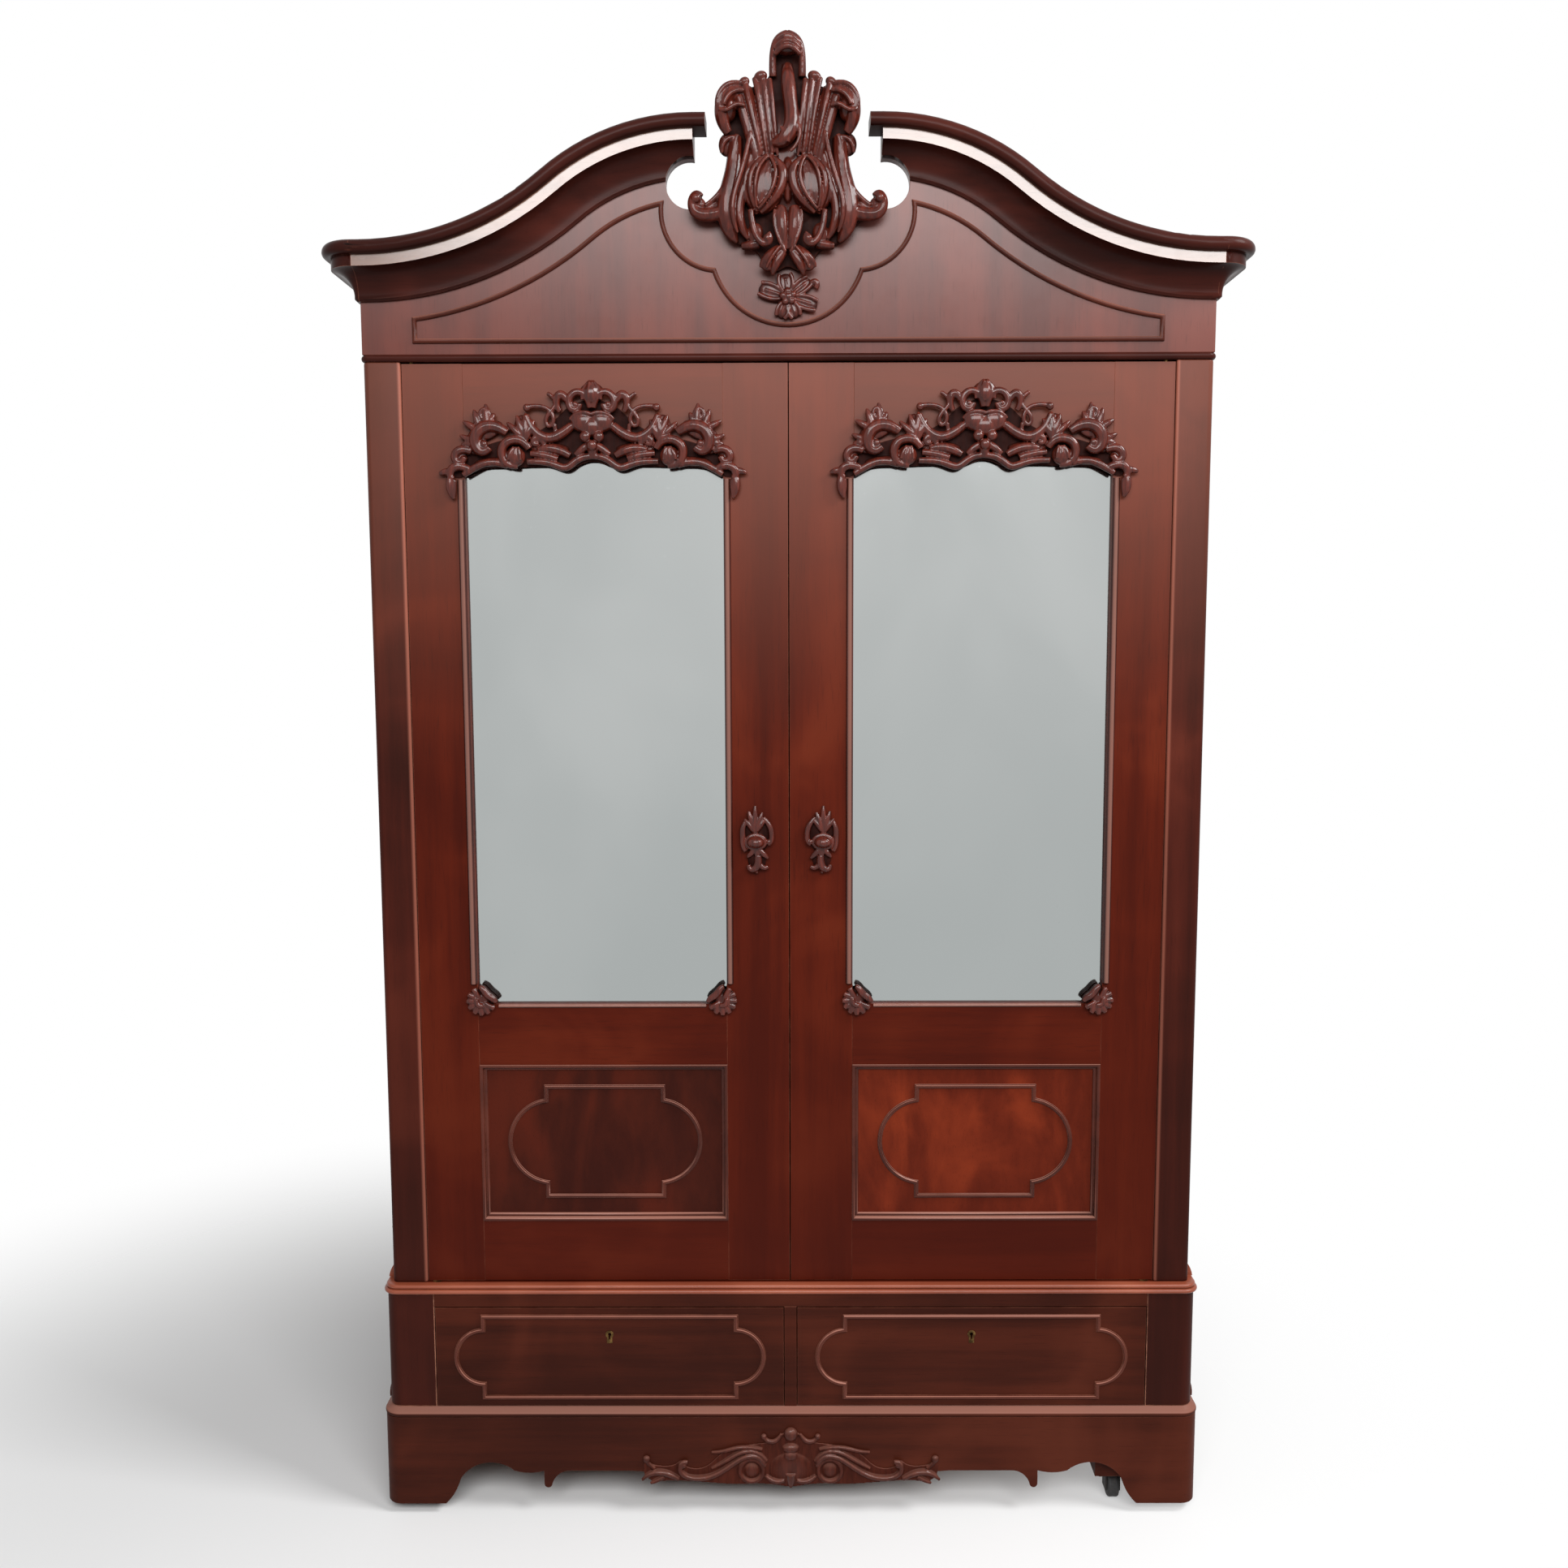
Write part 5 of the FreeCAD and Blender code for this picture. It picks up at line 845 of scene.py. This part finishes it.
    # leaves and ribbon along the lower edge
    c.stroke((40, 1978, 9, 5), (58, 1990, 11, 7), (78, 1994, 11, 7), (96, 1988, 10, 4))
    c.stroke((62, 1972, 9, 5), (84, 1981, 11, 6), (110, 1982, 10, 4))
    c.stroke((0, 1977, 9, 4), (20, 1978, 10, 5), (38, 1962, 11, 5), (50, 1955, 11, 5), (66, 1963, 11, 5),
             (88, 1969, 10, 4.5), (116, 1968, 10, 4))
    c.stroke((150, 1962, 9, 5), (172, 1969, 10, 5), (196, 1967, 10, 5), (216, 1954, 10, 5),
             (230, 1945, 10, 4))
    for place, way in zip(SHELL_PLACES, (-1, 1)):
        shell(c, side * (place - DOOR_MIDDLE), side * way)
    c.cut(f"{hand}_door", [f"{hand}_door_carvings"], DOOR_GRIT, keep=DOOR_KEEP)


def shell(c, x, way):
    """Corner shell: lobes that fan out and down from a small crescent, and a scroll towards the mirror."""
    middle = (x, SHELL_LEVEL)
    for i in range(SHELL_LOBES):
        angle = SHELL_SPREAD * (i / (SHELL_LOBES - 1) - 0.5) + SHELL_LEAN
        c.stroke((*turned(middle, angle, 7, way=way), 7, 3),
                 (*turned(middle, angle, 17, way=way), 9, 4.2),
                 (*turned(middle, angle, 26, way=way), 6, 4.4), sides=ONCE)
    arc = []
    for i in range(CRESCENT_KNOTS):
        share = i / (CRESCENT_KNOTS - 1)
        angle = CRESCENT_SPREAD * (share - 0.5) + SHELL_LEAN
        arc.append((*turned(middle, angle, 9, way=way), 11, 3 + math.sin(math.pi * share)))
    c.stroke(*arc, sides=ONCE)
    c.ball(*middle, 4, (14, 6, 14), sides=ONCE)
    # flat ground, and the scroll that joins the ends of the two beads and goes down to the glass
    c.ball(*middle, 1, (21, 4, 21), sides=ONCE)
    scroll = ((84, 27, 3), (100, 24, 5), (135, 13, 5.5), (170, 24, 5), (186, 27, 3))
    for sunk in (0, 6, 12):
        points = ((*turned(middle, angle, reach, way=way), 8 - sunk, radius - sunk / 8)
                  for angle, reach, radius in scroll)
        c.stroke(*points, sides=ONCE)


def pull(hand, side):
    """Carved pull: a leaf plume over a scrolled frame with an oval knob, and a curl below."""
    c = Carving(f"{hand}_pull", (side * PULL_MIDDLE, DOOR_FACE), door_carving_wood, fat=DOOR_FAT)
    way = (side,)
    c.ball(1, 1300, 2, (25, 5, 34), sides=way)
    c.ball(0, 1256, 2, (17, 5, 22), sides=way)
    for x, z in ((3, 1354), (15, 1344), (-10, 1342), (22, 1330), (-16, 1331)):
        c.leaf((3, 1306), (x, z), (7, 10, 7), (4, 5, 2), sides=way)
    c.stroke((-12, 1332, 7, 3), (-24, 1320, 9, 4), (-28, 1304, 9, 4), (-27, 1288, 9, 4),
             (-20, 1284, 9, 4), sides=way)
    c.stroke((20, 1326, 7, 3), (28, 1312, 9, 4), (24, 1298, 9, 4), (27, 1283, 9, 4), (20, 1272, 9, 4),
             sides=way)
    c.ball(-21, 1288, 10, (5, 5, 5), sides=way)
    c.ball(2, 1288, 14, (16, 16, 11), sides=way)
    c.ring(2, 1288, 10, 18, 13, 3, sides=way)
    for x, z in ((17, 1260), (-2, 1254), (-20, 1258)):
        c.leaf((1, 1278), (x, z), (7, 10, 7), (4, 5, 2.5), sides=way)
    c.stroke((-2, 1262, 8, 5), (-4, 1246, 9, 6), (5, 1235, 9, 5), (15, 1238, 9, 4), (15, 1246, 9, 3),
             sides=way)
    c.stroke((-4, 1248, 8, 4), (-12, 1236, 9, 4), (-20, 1243, 8, 3), sides=way)
    c.stroke((2, 1240, 7, 4), (0, 1230, 7, 2), sides=way)
    c.cut(f"{hand}_door", [f"{hand}_door_pull"], PULL_GRIT, PULL_RUBS)


def apron_carving():
    """Low carving on the apron: a ball and bell over a shield, two volutes and running leaves."""
    c = Carving("apron_ornament", (0, APRON_FACE), apron_carving_wood)
    # thin ground behind the openings
    c.plate([(0, 168), (22, 160), (36, 144), (80, 140), (130, 126), (160, 92), (198, 92), (206, 112),
             (222, 96), (262, 98), (276, 112), (280, 92), (276, 74), (256, 64), (236, 68), (204, 68),
             (160, 64), (110, 60), (60, 62), (30, 60), (0, 54)], 0, 2.5)
    # ball with hanging side curls, bell and shield
    c.ball(0, 161, 3, (13, 9, 13), sides=ONCE)
    c.stroke((17, 162, 3, 3), (25, 149, 5, 4.5), (38, 145, 5, 4.5), (49, 151, 4, 4), (51, 159, 4, 3.5))
    c.ball(51, 157, 4, (5.5, 5, 5.5))
    c.ball(0, 133, 2, (16, 8, 9), sides=ONCE)
    c.ball(0, 119, 2, (13, 9, 11), sides=ONCE)
    c.ball(0, 92, 0, (44, 8, 34), sides=ONCE)
    c.stroke((0, 84, 4, 11), (0, 64, 4, 7), (0, 54, 3, 2), sides=ONCE)
    c.stroke((47, 78, 4, 3), (35, 68, 7, 4.5), (23, 66, 7, 4.5), (12, 71, 6, 3))
    # volutes with a sunk ring round their disc, and the ridges that run out of them
    c.ball(74, 89, 2, (14, 6, 14))
    c.ring(74, 89, 3, 23, 23, 4.5)
    c.stroke((48, 98, 5, 3), (57, 117, 6, 4.5), (76, 122, 7, 4.5), (97, 113, 7, 4.5), (117, 97, 6, 4.5),
             (141, 81, 6, 4.5), (166, 73, 6, 5), (190, 74, 6, 4.5), (207, 82, 5, 3))
    c.stroke((46, 107, 4, 3), (59, 126, 5, 3.5), (82, 131, 6, 4), (105, 122, 6, 4), (127, 105, 5, 3.5),
             (150, 92, 4, 2))
    c.stroke((54, 130, 3, 3), (80, 138, 5, 4), (110, 135, 5, 4), (132, 125, 4, 3.5), (150, 125, 3, 3))
    # end curls, tail leaves and small balls
    c.stroke((192, 75, 5, 4), (208, 82, 6, 5), (212, 97, 6, 5), (205, 109, 6, 4.5), (195, 107, 6, 3.5))
    c.ball(203, 101, 6, (6, 5, 6))
    c.stroke((212, 72, 4, 4), (232, 85, 6, 5.5), (254, 89, 6, 5.5), (272, 81, 5, 4.5), (282, 70, 4, 2.5))
    c.stroke((240, 77, 4, 4), (252, 69, 5, 4.5), (266, 64, 4, 2.5))
    c.stroke((258, 92, 3, 3), (268, 100, 4, 3.5), (274, 111, 4, 4))
    c.ball(273, 112, 4, (7, 5, 7))
    c.cut("carcase", ["apron_carving"], APRON_GRIT)


crest()
flower()
apron_carving()
for hand, side in (("left", -1), ("right", 1)):
    door_carving(hand, side)
    pull(hand, side)


def lamp(name, place, aim, size, radiance):
    """A soft rectangular light at a place, facing a point."""
    light = bpy.data.lights.new(name, "AREA")
    light.shape = "RECTANGLE"
    light.size, light.size_y = size
    light.energy = radiance * math.pi * size[0] * size[1]
    item = bpy.data.objects.new(name, light)
    item.location = place
    item.rotation_euler = (Vector(aim) - Vector(place)).to_track_quat("-Z", "Y").to_euler()
    scene.collection.objects.link(item)


FLOOR_REACH = 2.2
FLOOR_FULL = 0.6
FLOOR_MIDDLE = (-0.6, -0.25, 0)
WORLD_LIGHT = 0.25
WORLD_SEEN = 1
# name, place, point that it faces, width and height, radiance
LAMPS = (
    ("key", (0.45, -4.3, 3.75), (0.1, -0.25, 1.7), (4.4, 1.9), 9.5),
    ("side", (3.2, -1.6, 4.2), (0, -0.2, 0.6), (1.6, 1.6), 20),
)


def studio():
    """White surroundings, a floor that fades into them, and soft lights from the front and the right."""
    world = bpy.data.worlds.new("studio")
    world.use_nodes = True
    tree = world.node_tree
    background = tree.nodes["Background"]
    rays = tree.nodes.new("ShaderNodeLightPath")
    seen = tree.nodes.new("ShaderNodeMath")
    seen.operation = "MAXIMUM"
    clear = tree.nodes.new("ShaderNodeMath")
    clear.operation = "MAXIMUM"
    level = tree.nodes.new("ShaderNodeMapRange")
    tree.links.new(rays.outputs["Is Camera Ray"], seen.inputs[0])
    tree.links.new(rays.outputs["Is Glossy Ray"], seen.inputs[1])
    tree.links.new(seen.outputs[0], clear.inputs[0])
    tree.links.new(rays.outputs["Is Transmission Ray"], clear.inputs[1])
    tree.links.new(clear.outputs[0], level.inputs["Value"])
    level.inputs["To Min"].default_value = WORLD_LIGHT
    level.inputs["To Max"].default_value = WORLD_SEEN
    tree.links.new(level.outputs[0], background.inputs["Strength"])
    background.inputs["Color"].default_value = (1, 1, 1, 1)
    scene.world = world

    ground = bmesh.new()
    bmesh.ops.create_circle(ground, cap_ends=True, radius=FLOOR_REACH, segments=96,
                            matrix=Matrix.Translation(FLOOR_MIDDLE))
    mesh = bpy.data.meshes.new("floor")
    ground.to_mesh(mesh)
    ground.free()
    floor = bpy.data.objects.new("floor", mesh)
    scene.collection.objects.link(floor)
    finish = Finish("floor_white")
    far = finish.node("VectorMath", {"operation": "DISTANCE"}, {0: finish.place, 1: FLOOR_MIDDLE},
                      "Value")
    grain = finish.noise(finish.place, 400, 2)
    finish.set(Base_Color=finish.mix(grain, tone(232, 232, 232), tone(236, 236, 236)),
               Alpha=finish.ramp(far, FLOOR_FULL, FLOOR_REACH, 1, 0))
    finish.shader.inputs["Roughness"].default_value = 1
    finish.shader.inputs["Specular IOR Level"].default_value = 0
    mesh.materials.append(finish.material)

    for each in LAMPS:
        lamp(*each)


set_camera()
studio()
scene.view_settings.view_transform = "Standard"
